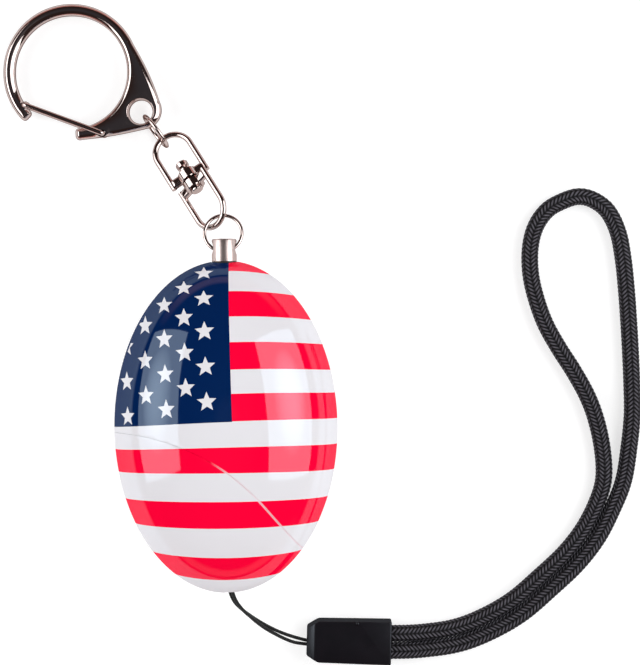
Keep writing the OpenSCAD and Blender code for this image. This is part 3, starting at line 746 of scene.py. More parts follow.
def swept(name, curve, radius, sides, relief=None):
    """A closed tube along a curve, with UVs in millimetres along and turns round."""
    points, faces, uvs = [], [], []
    normal, far = Vector((0, 0, 1)), 0.0
    lengths = []
    for i, center in enumerate(curve):
        along = (curve[min(i + 1, len(curve) - 1)] - curve[max(i - 1, 0)]).normalized()
        normal = (normal - normal.dot(along) * along).normalized()
        side = along.cross(normal)
        if i:
            far += (center - curve[i - 1]).length
        lengths.append(far)
        for k in range(sides):
            angle = 2 * math.pi * k / sides
            lift = relief(far, k / sides) if relief else 0.0
            point = center + (radius + lift) * (math.cos(angle) * normal + math.sin(angle) * side)
            point.z = max(0.0, point.z)
            points.append(point)
    for i in range(len(curve) - 1):
        for k in range(sides):
            a, b = i * sides + k, i * sides + (k + 1) % sides
            faces.append((a, a + sides, b + sides, b))
            uvs += [(lengths[i], k / sides), (lengths[i + 1], k / sides),
                    (lengths[i + 1], (k + 1) / sides), (lengths[i], (k + 1) / sides)]
    last = (len(curve) - 1) * sides
    faces.append(tuple(range(sides)))
    faces.append(tuple(last + k for k in reversed(range(sides))))
    uvs += [(0.0, k / sides) for k in range(sides)]
    uvs += [(far, k / sides) for k in reversed(range(sides))]
    obj = from_points(name, points, faces=faces)
    layer = obj.data.uv_layers.new(name="UVMap")
    for corner, uv in zip(layer.data, uvs):
        corner.uv = uv
    edit(obj)
    bpy.ops.mesh.normals_make_consistent(inside=False)
    close()
    return obj


def braid_relief(along, around):
    """How far the braid stands out of the cord's mean surface, in millimetres."""
    valley = 0.35
    phase, across = braid_lanes(along, around, math.floor)
    crown = valley + (1 - valley) * math.sin(across * math.pi) ** 0.5
    return math.sin(phase * math.pi) ** 2 * crown * BRAID_DEPTH - BRAID_SINK


class ALARM_OT_cords(bpy.types.Operator):
    """Lay the lanyard string and the braided wrist cord along the frame's routes."""

    bl_idname = "alarm.cords"
    bl_label = "Lay cords"

    def execute(self, context):
        sizes = context.scene.alarm_sizes
        path = smooth_route(STRING_ROUTE, step=0.25)
        string = swept("string", path, mm(sizes.string_width) / 2, sides=12)
        settle(string, "case", ["lanyard_string"], [string_material()])
        route_length(path) * MM
        [p * MM for p in path]
        path = smooth_route(CORD_ROUTE, step=0.14)
        cord = swept("wrist_braid", path, mm(sizes.cord_width) / 2, sides=32, relief=braid_relief)
        settle(cord, "case", ["wrist_cord"], [braid_material()])
        route_length(path) * MM
        [p * MM for p in path[::4]] + [path[-1] * MM]
        return {"FINISHED"}


class ALARM_OT_sleeve(bpy.types.Operator):
    """Model the black sleeve that joins the string and the wrist cord."""

    bl_idname = "alarm.sleeve"
    bl_label = "Model sleeve"

    def execute(self, context):
        length, half, slim, top = 17.3, 4.45, 4.25, 6.0
        chamfer, bevel, edge = (2.4, 1.3), (1.5, 1.05), 0.3
        side = [(0, slim - chamfer[1]), (chamfer[0], slim), (length, half)]
        sleeve = prism("sleeve", side + [(x, -y) for x, y in reversed(side)], 0, top)
        edit(sleeve)
        for up in (-1, 1):
            trim((0, 0, top / 2 + up * (top / 2 - bevel[1])),
                 Vector((-bevel[1], 0, up * bevel[0])).normalized())
        bpy.ops.mesh.select_all(action="SELECT")
        bpy.ops.mesh.bevel(offset=edge, segments=3, affect="EDGES")
        close_clean()
        self.add_pip(sleeve, top, at=(10.25, 3.9, 0))
        self.drill(sleeve, length)
        move(sleeve, Matrix.Translation(SLEEVE_AT) @ turn(z=SLEEVE_TURN))
        settle(sleeve, "case", ["cord_sleeve"], [moulding_material()])
        return {"FINISHED"}

    def add_pip(self, sleeve, top, at):
        """Stand the mould's round pip on the sleeve's upper face."""
        radius, root = 0.42, 0.4
        crown = [(0.34, 0.16), (0.2, 0.26), (0, 0.3)]
        pip = turned("pip", [(0, top - root), (radius, top - root), (radius, top),
                             *((r, top + rise) for r, rise in crown)], steps=24)
        combine(sleeve, move(pip, Matrix.Translation(at)), "UNION")

    def drill(self, sleeve, length):
        """Drill the two seats for the cord's ends and the two for the string's."""
        cord_radius, cord_z, cord_depth = 1.8, 3.0, 10.9
        string_radius, string_z, string_depth, past = 0.43, 3.2, 3.3, 1
        cord_seat = (cord_z, cord_radius, length - cord_depth, length + past)
        string_seat = (string_z, string_radius, -past, string_depth)
        for y, (z, radius, low, high) in (
            (-1.75, cord_seat), (1.75, cord_seat), (-0.85, string_seat), (-0.05, string_seat),
        ):
            hole = rod("hole", radius, low, high, count=40)
            combine(sleeve, move(hole, Matrix.Translation((0, y, z)) @ turn(y=90)))


# Case


def egg_solid(name, sizes, inset=0.0):
    """A closed egg with its poles at the ends, cut flat at the back."""
    clear()
    bpy.ops.mesh.primitive_uv_sphere_add(segments=192, ring_count=112, radius=1)
    egg = bpy.context.object
    egg.name = egg.data.name = name
    radii = [mm(size) / 2 - inset for size in (sizes.case_width, sizes.case_length, sizes.case_depth)]
    move(egg, Matrix.Translation((0, 0, MID_Z)) @ Matrix.Diagonal((*radii, 1)) @ turn(x=-90))
    edit(egg)
    trim((0, 0, inset), (0, 0, -1))
    close_clean()
    return egg


def shell(name, sizes, thickness, front):
    """Half of the egg's wall."""
    egg = egg_solid(name, sizes)
    edit(egg)
    side = 1 if front else -1
    trim((0, 0, MID_Z + side * SEAM / 2), (0, 0, -side), fill=False)
    close()
    take(egg)
    modifier = egg.modifiers.new("wall", "SOLIDIFY")
    modifier.thickness = thickness
    modifier.offset = -1
    modifier.use_even_offset = True
    bpy.ops.object.modifier_apply(modifier=modifier.name)
    return egg


def swoosh_tool(grow):
    """Everything below the curved seam, as a block that reaches far past the case."""
    start, past, run_out, low, high = 150, 120, 60, -10, 60
    curve = arc(SWOOSH_CENTER, SWOOSH_RADIUS + grow, start, 90 - SWOOSH_TURN, 160)
    run = math.radians(-SWOOSH_TURN)
    end = curve[-1] + run_out * Vector((math.cos(run), math.sin(run)))
    points = [(-past, -past), (-past, curve[0].y), *curve, end, (end.x, -past)]
    return prism("swoosh", points, low, high)


def cut_ends(cover):
    """Make room for the pin's seal and for the string."""
    combine(cover, move(rod("bore", PIN_BORE, *PIN_BORE_SPAN), along_case()))
    combine(cover, prism("slot", rectangle(*STRING_SLOT), *STRING_SLOT_SPAN))


def door_points(gap):
    """Outline of the battery door and its round tab."""
    (x0, y0), (x1, y1) = [c + gap for c in DOOR_LOW], [c - gap for c in DOOR_HIGH]
    y, radius = DOOR_SCREW[1], DOOR_TAB - gap
    return [(x0, y0), (x1, y0), (x1, y - radius), *arc(DOOR_SCREW, radius, -90, 90, 32),
            (x1, y + radius), (x1, y1), (x0, y1)]


class ALARM_OT_front(bpy.types.Operator):
    """Model the two printed front covers, parted along the curved seam."""

    bl_idname = "alarm.front"
    bl_label = "Model front covers"

    def execute(self, context):
        sizes = context.scene.alarm_sizes
        edge = grained("cover_edge", srgb(226, 222, 228), srgb(214, 208, 216),
                       scale=0.6, rough=0.2, spread=0.1)
        for name, node, slot, grow, operation in (
            ("upper_shell", "front_upper_cover", "upper_print", SWOOSH_PLAY, "DIFFERENCE"),
            ("lower_shell", "front_lower_cover", "lower_print", -SWOOSH_PLAY, "INTERSECT"),
        ):
            cover = shell(name, sizes, mm(sizes.wall), front=True)
            combine(cover, swoosh_tool(grow), operation)
            cut_ends(cover)
            soften(cover, width=0.3, angle=40, material=1)
            settle(cover, "case", [node], [print_material(slot), edge], smooth=30)
        return {"FINISHED"}


class ALARM_OT_rear(bpy.types.Operator):
    """Model the rear cover with its sound slots, screw wells and battery door."""

    bl_idname = "alarm.rear"
    bl_label = "Model rear cover"

    def execute(self, context):
        sizes = context.scene.alarm_sizes
        white = grained("case_white", srgb(233, 231, 235), srgb(226, 224, 229),
                        scale=0.3, rough=0.1, spread=0.08, bump=0.004, IOR=1.5)
        settle(self.cover(sizes), "case", ["rear_cover"], [white], smooth=30)
        settle(self.door(sizes), "case", ["battery_door"], [white], smooth=30)
        return {"FINISHED"}

    def cover(self, sizes):
        """The rear shell with its bosses and wells, its slots, and the recess and opening of the door."""
        rear = shell("rear_shell", sizes, mm(sizes.wall), front=False)
        for at in CASE_SCREWS:
            boss = rod("boss", BOSS_RADIUS, 0, MID_Z - SEAM / 2, at)
            combine(boss, egg_solid("inside", sizes, inset=0.8), "INTERSECT")
            combine(rear, boss, "UNION")
        for at in CASE_SCREWS:
            combine(rear, rod("well", WELL_RADIUS, TOOL_LOW, CASE_WELL_TOP, at))
        for i in range(SLOT_COUNT):
            y = SLOT_FIRST + SLOT_STEP * i
            points = (arc((SLOT_REACH, y), SLOT_RADIUS, 90, -90, 16)
                      + arc((-SLOT_REACH, y), SLOT_RADIUS, 270, 90, 16))
            combine(rear, prism("slot", points, TOOL_LOW, SLOT_TOP))
        recess = prism("recess", door_points(0), TOOL_LOW, TOOL_HIGH)
        combine(recess, egg_solid("inside", sizes, DOOR_WALL))
        combine(rear, recess)
        opening = rectangle([c + DOOR_LEDGE for c in DOOR_LOW], [c - DOOR_LEDGE for c in DOOR_HIGH])
        combine(rear, prism("opening", opening, TOOL_LOW, TOOL_HIGH))
        combine(rear, rod("screw_room", BOSS_RADIUS + DOOR_GAP, TOOL_LOW, DOOR_BOSS_TOP, DOOR_SCREW))
        cut_ends(rear)
        soften(rear, width=0.12, angle=40)
        return rear

    def door(self, sizes):
        """The battery door with the boss and the well of its screw."""
        door = shell("door", sizes, DOOR_WALL - DOOR_PLAY, front=False)
        combine(door, prism("trim", door_points(DOOR_GAP), TOOL_LOW, TOOL_HIGH), "INTERSECT")
        boss = rod("boss", BOSS_RADIUS, 0, DOOR_BOSS_TOP - DOOR_PLAY, DOOR_SCREW)
        combine(boss, egg_solid("inside", sizes), "INTERSECT")
        combine(door, boss, "UNION")
        combine(door, rod("well", WELL_RADIUS, TOOL_LOW, DOOR_WELL_TOP, DOOR_SCREW))
        combine(door, rod("hole", SHANK_RADIUS, TOOL_LOW, TOOL_HIGH, DOOR_SCREW))
        soften(door, width=0.1, angle=40)
        return door


# Keychain


def wire_ring(name, wire):
    """A ring of round wire with a fine cut in it."""
    ring = outline(name, circle(wire, 24, (RING_MEAN, 0, 0)))
    edit(ring)
    bpy.ops.mesh.spin(
        steps=96, angle=2 * math.pi - RING_CUT / RING_MEAN, center=(0, 0, 0), axis=(0, 0, 1))
    bpy.ops.mesh.select_all(action="SELECT")
    bpy.ops.mesh.fill_holes(sides=0)
    close_clean()
    return ring


class ALARM_OT_pin(bpy.types.Operator):
    """Turn the pin's cap and drill its cross hole."""

    bl_idname = "alarm.pin"
    bl_label = "Turn pin cap"

    def execute(self, context):
        radius = mm(context.scene.alarm_sizes.cap_width) / 2
        low, high, foot, brow = 32.9, 37.5, 0.12, 0.3
        hole_at, hole_radius, hole_reach = 35.7, 1.3, 4
        profile = [(0, low), (radius - foot, low), (radius, low + foot), (radius, high - brow),
                   (radius - brow / 3, high - brow / 3), (radius - brow, high), (0, high)]
        cap = turned("pin_cap", profile, steps=96)
        drill = rod("drill", hole_radius, -hole_reach, hole_reach, count=64)
        combine(cap, move(drill, Matrix.Translation((0, 0, hole_at)) @ turn(y=90)))
        soften(cap, width=0.08, angle=40)
        move(cap, along_case())
        settle(cap, "pin", ["pull_pin_cap"], [made["cap_plate"]])
        return {"FINISHED"}


class ALARM_OT_rings(bpy.types.Operator):
    """Bend the pin ring and the link ring."""

    bl_idname = "alarm.rings"
    bl_label = "Bend rings"

    def execute(self, context):
        plate = made["bright_plate"]
        ring = wire_ring("pin_ring_wire", PIN_RING_WIRE)
        move(ring, Matrix.Translation(PIN_RING_AT) @ turn(x=-PIN_RING_DROOP) @ turn(z=PIN_RING_CUT_AT))
        settle(ring, "ring", ["pin_ring"], [plate])
        link = wire_ring("link_ring_wire", LINK_WIRE)
        move(link, Matrix.Translation(LINK_AT) @ turn(z=LINK_YAW) @ turn(y=LINK_STAND)
             @ turn(z=LINK_CUT_AT))
        settle(link, "link", ["link_ring"], [plate])
        return {"FINISHED"}


def stirrup(name, bore):
    """A wire loop with its round end at the origin, and a bar with a boss across its open end."""
    half, wire, high = 3.85, 0.6, SWIVEL_LOOP
    bar, bar_depth, bar_play, bar_edge = 2.0, 1.5, 0.04, 0.6
    boss, boss_foot, boss_brow = 2.05, 0.2, 0.15
    low = high - bar
    loop = outline(name, circle(wire, 24, (-half, high, 0)))
    edit(loop)
    bpy.ops.mesh.extrude_region_move(TRANSFORM_OT_translate={"value": (0, half - high, 0)})
    bpy.ops.mesh.spin(steps=40, angle=math.pi, center=(0, half, 0), axis=(0, 0, -1))
    bpy.ops.mesh.extrude_region_move(TRANSFORM_OT_translate={"value": (0, high - half, 0)})
    bpy.ops.mesh.select_all(action="SELECT")
    bpy.ops.mesh.fill_holes(sides=0)
    close_clean()
    clear()
    bpy.ops.mesh.primitive_cube_add(size=1)
    cross = bpy.context.object
    move(cross, Matrix.Translation((0, low + bar / 2, 0))
         @ Matrix.Diagonal((2 * half, bar - bar_play, bar_depth, 1)))
    soften(cross, bar_edge, segments=6)
    collar = turned("boss", [(0, low), (boss - boss_foot, low), (boss, low + boss_foot),
                             (boss, high - boss_brow), (boss - boss_brow, high), (0, high)])
    combine(loop, cross, "UNION")
    combine(loop, move(collar, turn(x=-90)), "UNION")
    combine(loop, move(rod("hole", bore, low - 1, high + 1), turn(x=-90)))
    return loop


def at_swivel(roll):
    """The swivel's own frame, rolled about its axis."""
    return (Matrix.Translation(SWIVEL_FOOT) @ turn(z=SWIVEL_YAW) @ turn(x=-SWIVEL_DIP) @ turn(y=-roll))


class ALARM_OT_swivel(bpy.types.Operator):
    """Model the two stirrups of the swivel and the rivet that joins them."""

    bl_idname = "alarm.swivel"
    bl_label = "Model swivel"

    def execute(self, context):
        plate = made["bright_plate"]
        lower = move(stirrup("swivel_lower", bore=0.78), at_swivel(SWIVEL_ROLL))
        settle(lower, "swivel_lower", ["swivel_lower_loop"], [plate])
        upper = stirrup("swivel_upper", bore=0.81)
        move(upper, at_swivel(0) @ Matrix.Translation((0, SWIVEL_SPAN, 0)) @ turn(z=180))
        settle(upper, "swivel_upper", ["swivel_upper_loop"], [plate])
        rivet = move(turned("rivet", self.rivet_profile()), at_swivel(0) @ turn(x=-90))
        settle(rivet, "swivel_lower", ["swivel_rivet"], [plate])
        return {"FINISHED"}

    def rivet_profile(self):
        """The rivet's foot, shank, washer and head, as radius and height."""
        foot, neck, top = 8.45, 13.5, 15.7
        shank, wide = 0.75, 1.3
        foot_thick, foot_edge = 0.6, 0.15
        washer, head, washer_edge, head_edge, head_brow = 0.5, 1.0, 0.08, 0.2, 0.25
        return [(0, foot), (wide - foot_edge, foot), (wide, foot + foot_edge), (wide, foot + foot_thick),
                (shank, foot + foot_thick), (shank, neck), (wide, neck),
                (wide, neck + washer - washer_edge), (wide - washer_edge, neck + washer),
                (shank, neck + washer), (shank, neck + head), (wide - washer_edge, neck + head),
                (wide, neck + head + washer_edge), (wide, top - head_brow), (wide - head_edge, top),
                (0, top)]


def bulged(start, end, lift, count=24):
    """Points on a slightly curved line between two points, without its ends."""
    run = end - start
    out = Vector((-run.y, run.x)).normalized()
    return [start + run * i / count + out * lift * math.sin(math.pi * i / count) for i in range(1, count)]


def rounded(points, corners, radius, count=6):
    """The points, with a curve of that reach instead of each chosen corner."""
    result = []
    for i, point in enumerate(points):
        if i not in corners:
            if all((point - points[c]).length > radius for c in corners):
                result.append(point)
            continue
        before, after = points[i - 1] - point, points[(i + 1) % len(points)] - point
        first = point + before.normalized() * radius
        last = point + after.normalized() * radius
        for k in range(count + 1):
            t = k / count
            result.append(first * (1 - t) ** 2 + point * 2 * t * (1 - t) + last * t * t)
    return result


def loop_distance(point, loop):
    """The least distance from a point to a closed loop."""
    least = math.inf
    for start, end in zip(loop, loop[1:] + loop[:1]):
        run = end - start
        share = min(1.0, max(0.0, (point - start).dot(run) / run.length_squared))
        least = min(least, (start + run * share - point).length)
    return least


def inset_loop(points, depths):
    """A closed loop moved to its left, each point by its own depth, with its folds closed up."""
    near_share, near_play = 0.96, 0.005
    moved = []
    for i, point in enumerate(points):
        back, on = point - points[i - 1], points[(i + 1) % len(points)] - point
        left = Vector((-back.y, back.x)).normalized() + Vector((-on.y, on.x)).normalized()
        left.normalize()
        moved.append(point + left * depths[i])
    clear_of = [loop_distance(p, points) > d * near_share - near_play for p, d in zip(moved, depths)]
    count = len(points)
    result = []
    for i, point in enumerate(moved):
        if not clear_of[i]:
            back = next(k for k in range(1, count) if clear_of[i - k])
            on = next(k for k in range(1, count) if clear_of[(i + k) % count])
            point = (moved[i - back] + moved[(i + on) % count]) / 2
        result.append(point)
    return result


def bevelled_plate(name, loops, profile):
    """A plate bounded by loops with the metal on their left, its edges shaped by inset and height.

    A loop comes with the share of the inset that each of its points takes."""
    points, faces = [], []
    rims = [(depth, -height) for depth, height in reversed(profile)]
    levels = profile + rims
    for loop, shares in loops:
        count, start = len(loop), len(points)
        for depth, height in levels:
            points += [(p.x, p.y, height) for p in inset_loop(loop, [depth * share for share in shares])]
        for level in range(len(levels) - 1):
            for i in range(count):
                a = start + level * count + i
                b = start + level * count + (i + 1) % count
                faces.append((a, a + count, b + count, b))
    plate = from_points(name, points, faces=faces)
    edit(plate)
    close_clean()
    top = profile[0][1]
    for height in (top, -top):
        edit(plate)
        bpy.ops.mesh.select_mode(type="VERT")
        bpy.ops.mesh.select_all(action="DESELECT")
        close()
        for vertex in plate.data.vertices:
            vertex.select = abs(vertex.co.z - height) < ON_PLANE
        bpy.ops.object.mode_set(mode="EDIT")
        bpy.ops.mesh.select_mode(type="EDGE")
        bpy.ops.mesh.fill(use_beauty=True)
        close()
    edit(plate)
    close_clean()
    return plate


def clasp_outline(sizes):
    """The clasp's outer loop, with the metal on its left, and the loops of its eye and its pivot."""
    inner = mm(sizes.clasp_bore) / 2
    outer = inner + mm(sizes.clasp_rim)
    line = Vector(BOW_CENTER) - Vector(TAIL_CENTER)
    toward = math.degrees(math.atan2(line.y, line.x))
    spread = math.degrees(math.acos((TAIL_RADIUS - outer) / line.length))
    upper, lower = toward - spread, toward + spread
    nose, arm, corner_reach = 226.0, -86.5, 0.9
    notch_from, notch_to, notch_radius = 210.8, 219.4, 0.85
    notch_facing, notch_half = 35, 92
    eye_radius, eye_share, pivot_radius, pivot_share = 2.4, 0.45, 0.61, 0.15
    notch = arc(GATE_TIP, notch_radius, notch_facing + notch_half, notch_facing - notch_half, 12)
    outer_run = arc(BOW_CENTER, outer, lower - 360, arm, 14)
    bow = arc(BOW_CENTER, inner, arm, notch_from, 120)
    lip = arc(BOW_CENTER, inner, notch_to, nose, 3)
    rim = arc(BOW_CENTER, outer, nose, upper, 110)
    tail = arc(TAIL_CENTER, TAIL_RADIUS, upper, lower - 360, 36)
    crown = bulged(rim[-1], tail[0], lift=0.4)
    belly = bulged(tail[-1], outer_run[0], lift=0.25)
    loop = rim + crown + tail + belly + outer_run + bow + notch + lip
    end = len(rim + crown + tail + belly + outer_run)
    last = len(loop) - 1
    sharp = [loop[0], loop[last], bow[-1], lip[0], notch[0], notch[-1]]
    blunt = [loop[end - 1], loop[end]]
    loop = rounded(loop, {0, end - 1, end, last}, corner_reach)
    loop.reverse()
    shares = [bevel_share(point, sharp, blunt) for point in loop]
    eye = arc((0, 0), eye_radius, 360, 0, 64)[:-1]
    pivot = arc(GATE_PIVOT, pivot_radius, 360, 0, 24)[:-1]
    return [(loop, shares), (eye, [eye_share] * len(eye)), (pivot, [pivot_share] * len(pivot))]


def bevel_share(point, sharp, blunt):
    """The share of the bevel at a point: less near corners, and where the eye or the pivot is close."""
    least, at_corner, growth, blunt_lead = 0.1, 0.55, 0.25, 0.6
    eye_reach, pivot_reach, web_room = 2.9, 0.82, 0.9
    corner = min([(point - q).length for q in sharp] + [(point - q).length + blunt_lead for q in blunt])
    web = min(point.length - eye_reach, (point - Vector(GATE_PIVOT)).length - pivot_reach)
    return max(least, min(1.0, at_corner + growth * corner, web / web_room))


def at_clasp():
    return Matrix.Translation(CLASP_EYE) @ turn(y=-CLASP_TILT)


def bent_wire(name, points, radius):
    """A round wire along points, with closed ends."""
    curve = bpy.data.curves.new(name, "CURVE")
    curve.dimensions = "3D"
    curve.bevel_depth = radius
    curve.bevel_resolution = 6
    curve.use_fill_caps = True
    spline = curve.splines.new("POLY")
    spline.points.add(len(points) - 1)
    for place, point in zip(spline.points, points):
        place.co = (*point, 1)
    wire = bpy.data.objects.new(name, curve)
    bpy.context.scene.collection.objects.link(wire)
    take(wire)
    bpy.ops.object.convert(target="MESH")
    wire = bpy.context.object
    edit(wire)
    close_clean()
    return wire


class ALARM_OT_clasp(bpy.types.Operator):
    """Model the clasp's bevelled body and bend its wire gate."""

    bl_idname = "alarm.clasp"
    bl_label = "Model clasp"

    def execute(self, context):
        sizes = context.scene.alarm_sizes
        plate = made["bright_plate"]
        half = mm(sizes.clasp_thick) / 2
        profile = [(0.9, half), (0.8, half - 0.03), (0.28, half - 0.42), (0.1, half - 0.64),
                   (0.0, half - 0.95)]
        body = move(bevelled_plate("clasp", clasp_outline(sizes), profile), at_clasp())
        settle(body, "clasp", ["clasp_body"], [plate], smooth=25)
        run = Vector(GATE_TIP) - Vector(GATE_PIVOT)
        length, high, stub = run.length, 2.05, half - 0.9
        corners = [Vector((0, stub)), Vector((0, high)), Vector((length, high)), Vector((length, -high)),
                   Vector((0, -high)), Vector((0, -stub))]
        path = rounded(corners, {1, 2, 3, 4}, radius=0.62, count=8)
        wire = bent_wire("gate", [(p.x, 0, p.y) for p in path], radius=0.55)
        aim = math.degrees(math.atan2(run.y, run.x))
        move(wire, at_clasp() @ Matrix.Translation((*GATE_PIVOT, 0)) @ turn(z=aim))
        settle(wire, "gate", ["clasp_gate"], [plate])
        return {"FINISHED"}


# Inside

# Finishes by slot: two colours, grains to the millimetre, roughness, its spread and the bump's depth
INNER_METALS = {
    "screw_steel": ((0.6, 0.6, 0.62), (0.45, 0.45, 0.47), 2, 0.2, 0.2, 0.004),
    "contact_brass": ((0.80, 0.60, 0.28), (0.62, 0.42, 0.18), 1, 0.2, 0.2, 0.003),
    "cell_steel": ((0.66, 0.66, 0.66), (0.54, 0.54, 0.55), 1.5, 0.22, 0.15, 0.004),
}
INNER_PLASTICS = {
    "seal_rubber": (srgb(18, 18, 20), srgb(30, 30, 32), 3, 0.5, 0.2, 0.01),
    "plug_plastic": (srgb(70, 70, 74), srgb(58, 58, 62), 2, 0.35, 0.15, 0.005),
    "board_laminate": (srgb(18, 84, 44), srgb(26, 108, 60), 1.5, 0.35, 0.15, 0.01),
    "chip_plastic": (srgb(22, 22, 24), srgb(34, 34, 36), 4, 0.5, 0.15, 0.008),
    "inductor_ferrite": (srgb(58, 50, 46), srgb(128, 70, 36), 2.5, 0.4, 0.2, 0.03),
    "ceramic": (srgb(226, 214, 188), srgb(208, 196, 170), 1.2, 0.5, 0.2, 0.004),
    "foam_ring": (srgb(30, 30, 32), srgb(52, 52, 54), 6, 0.8, 0.1, 0.05),
    "lead_wire": (srgb(176, 28, 30), srgb(150, 20, 24), 3, 0.35, 0.15, 0.005),
}


class ALARM_OT_inside(bpy.types.Operator):
    """Give the frame's own inner pieces their materials."""

    bl_idname = "alarm.inside"
    bl_label = "Finish inner pieces"

    def execute(self, context):
        for slot, look in INNER_METALS.items():
            grained(slot, *look, Metallic=1.0)
        for slot, look in INNER_PLASTICS.items():
            grained(slot, *look)
        for part in frame["record"]["subparts"]:
            node = frame["nodes"][part["node"]]
            if not node.hide_render:
                node.data.materials.clear()
                node.data.materials.append(made[part["material_slot"]])
        return {"FINISHED"}


# Stage

# Camera, in metres: place, roll in degrees, lens and sensor in millimetres, and nearest view
CAMERA_AT = (0.018985, 0.018611, 0.450)
CAMERA_ROLL = -0.6
CAMERA_LENS = 118.0
CAMERA_SENSOR = 36.0
CAMERA_NEAR = 0.01


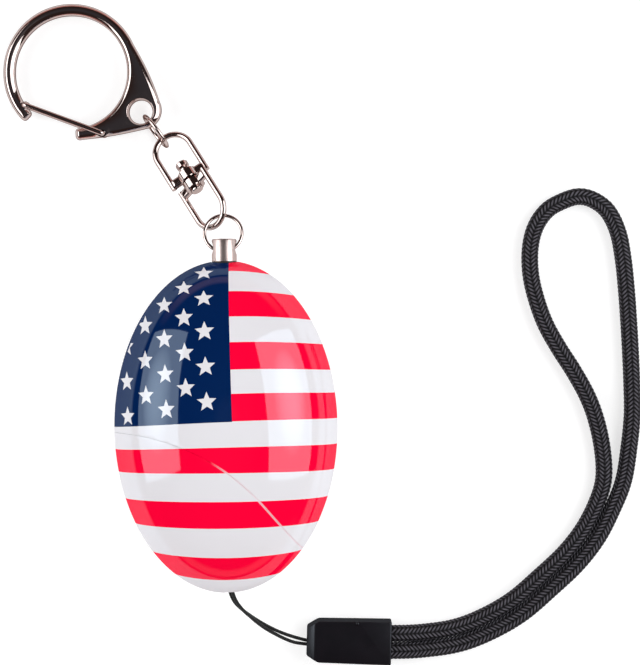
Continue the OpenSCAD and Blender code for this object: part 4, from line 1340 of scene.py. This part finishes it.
class ALARM_OT_stage(bpy.types.Operator):
    """Set the camera, the two tall softboxes, the dim room and the white floor."""

    bl_idname = "alarm.stage"
    bl_label = "Set stage"

    def execute(self, context):
        scene = context.scene
        scene.view_settings.view_transform = "Standard"
        self.camera(scene)
        self.softbox("left_box", at=(-0.338, 0.058, 0.227), size=(0.416, 0.32), radiance=3.4, roll=5)
        self.softbox("right_box", at=(0.3215, 0.054, 0.252), size=(0.43, 0.355), radiance=3.4, roll=4)
        self.fill("low_fill", at=(0.02, -0.55, 0.27), watts=1.6)
        self.fill("high_fill", at=(0.02, 0.6, 0.3), watts=0.7)
        self.floor()
        self.room(scene)
        return {"FINISHED"}

    def camera(self, scene):
        """A long lens that looks straight down."""
        camera = bpy.data.objects.new("camera", bpy.data.cameras.new("camera"))
        scene.collection.objects.link(camera)
        camera.location = CAMERA_AT
        camera.rotation_euler = (0, 0, math.radians(CAMERA_ROLL))
        camera.data.lens = CAMERA_LENS
        camera.data.sensor_width = CAMERA_SENSOR
        camera.data.clip_start = CAMERA_NEAR
        scene.camera = camera

    def lamp(self, name, at, size, watts, roll=0.0):
        """A rectangular light that faces the egg."""
        light = bpy.data.lights.new(name, "AREA")
        light.shape = "RECTANGLE"
        light.size, light.size_y = size
        light.energy = watts
        lamp = bpy.data.objects.new(name, light)
        bpy.context.scene.collection.objects.link(lamp)
        facing = (Vector(at) - Vector((0, 0, MID_Z * MM))).normalized()
        across = (Vector((0, 1, 0)) - facing.y * facing).normalized()
        axes = Matrix((across, facing.cross(across), facing)).transposed().to_4x4()
        lamp.matrix_world = Matrix.Translation(at) @ axes @ turn(z=roll)
        return lamp

    def softbox(self, name, at, size, radiance, roll):
        """A softbox of one radiance that is brighter in its middle."""
        dim, bright, spread_end = 0.85, 1.75, 0.12
        lamp = self.lamp(name, at, size, radiance * math.pi * size[0] * size[1], roll)
        lamp.data.color = (0.97, 0.99, 1.0)
        lamp.data.use_nodes = True
        finish = Finish(lamp.data.node_tree)
        u, v, _ = finish.split(finish.node("ShaderNodeNewGeometry", output="Parametric"))
        spread = (u - 0.5) ** 2.0 + (v - 0.5) ** 2.0
        glow = finish.between(finish.limit(spread, spread_end, 0.0), dim, bright)
        emission = next(n for n in lamp.data.node_tree.nodes if n.type == "EMISSION")
        finish.feed(emission.inputs["Strength"], glow)

    def fill(self, name, at, watts):
        """A weak light that fills the shaded ends and leaves no reflection."""
        lamp = self.lamp(name, at, size=(0.5, 0.5), watts=watts)
        lamp.visible_glossy = False

    def floor(self):
        """A floor that the camera and reflections see white, and that lights the object less."""
        span, grey, seen_glow, glow_on_all = 3.0, 0.42, 0.48, 0.2
        clear()
        bpy.ops.mesh.primitive_plane_add(size=span)
        floor = bpy.context.object
        floor.name = "floor"
        material, finish, shader = new_material("floor_white", Base_Color=(grey, grey, grey), Roughness=0.9)
        rays = [finish.node("ShaderNodeLightPath", output=name)
                for name in ("Is Camera Ray", "Is Glossy Ray", "Is Transmission Ray")]
        seen = finish.math("MINIMUM", rays[0] + rays[1] + rays[2], 1.0)
        glow = finish.node(
            "ShaderNodeEmission", None, {"Color": (1, 1, 1), "Strength": seen * seen_glow + glow_on_all})
        finish.surface(finish.node(
            "ShaderNodeAddShader", None, {0: Value(finish, shader.outputs[0]), 1: glow}))
        floor.data.materials.append(material)

    def room(self, scene):
        """A dark warm room with a dull rosy band above the floor at both ends of the object."""
        dark, rosy = (0.036, 0.024, 0.022), (0.95, 0.45, 0.4)
        ceiling, zenith = (0.05, 0.05, 0.057), (0.12, 0.115, 0.12)
        rise = [(0.0, 0.0), (0.515, 0.0), (0.54, 1.0), (0.595, 1.0), (0.635, 0.0), (1.0, 0.0)]
        world = bpy.data.worlds.new("room")
        scene.world = world
        world.use_nodes = True
        finish = Finish(world.node_tree)
        _, y, z = finish.split(finish.node("ShaderNodeTexCoord", output="Generated"))
        band = finish.node(
            "ShaderNodeValToRGB", {"stops": [(at, (v, v, v, 1)) for at, v in rise]}, {0: z * 0.5 + 0.5})
        ends = finish.limit(abs(y), 0.55, 0.85)
        tone = finish.mix(band * ends, dark, rosy)
        tone = finish.mix(finish.limit(z, 0.9, 0.97), tone, ceiling)
        tone = finish.mix(finish.limit(z, 0.986, 0.996), tone, zenith)
        finish.feed(world.node_tree.nodes["Background"].inputs["Color"], tone)


class ALARM_PT_panel(bpy.types.Panel):
    """Lists the steps that make the alarm."""

    bl_idname = "ALARM_PT_panel"
    bl_label = "Personal alarm"
    bl_space_type = "VIEW_3D"
    bl_region_type = "UI"
    bl_category = "Alarm"

    def draw(self, context):
        for group in (context.scene.alarm_sizes, context.scene.alarm_colours):
            for name in group.__annotations__:
                self.layout.prop(group, name)
        for step in STEPS:
            self.layout.operator(step.bl_idname)


STEPS = [
    ALARM_OT_stage, ALARM_OT_cords, ALARM_OT_sleeve, ALARM_OT_front, ALARM_OT_rear, ALARM_OT_pin,
    ALARM_OT_rings, ALARM_OT_swivel, ALARM_OT_clasp, ALARM_OT_inside,
]
CLASSES = [AlarmSizes, AlarmColours, *STEPS, ALARM_PT_panel]


def register():
    for cls in CLASSES:
        bpy.utils.register_class(cls)
    bpy.types.Scene.alarm_sizes = PointerProperty(type=AlarmSizes)
    bpy.types.Scene.alarm_colours = PointerProperty(type=AlarmColours)


def unregister():
    del bpy.types.Scene.alarm_colours
    del bpy.types.Scene.alarm_sizes
    for cls in reversed(CLASSES):
        bpy.utils.unregister_class(cls)


def main():
    register()
    plate_material("bright_plate", rough=0.05)
    plate_material("cap_plate", rough=0.34, gain=1.02, edge=(0.6, 0.5, 0.48))
    for step in STEPS:
        group, name = step.bl_idname.split(".")
        getattr(getattr(bpy.ops, group), name)()


if __name__ == "__main__":
    main()
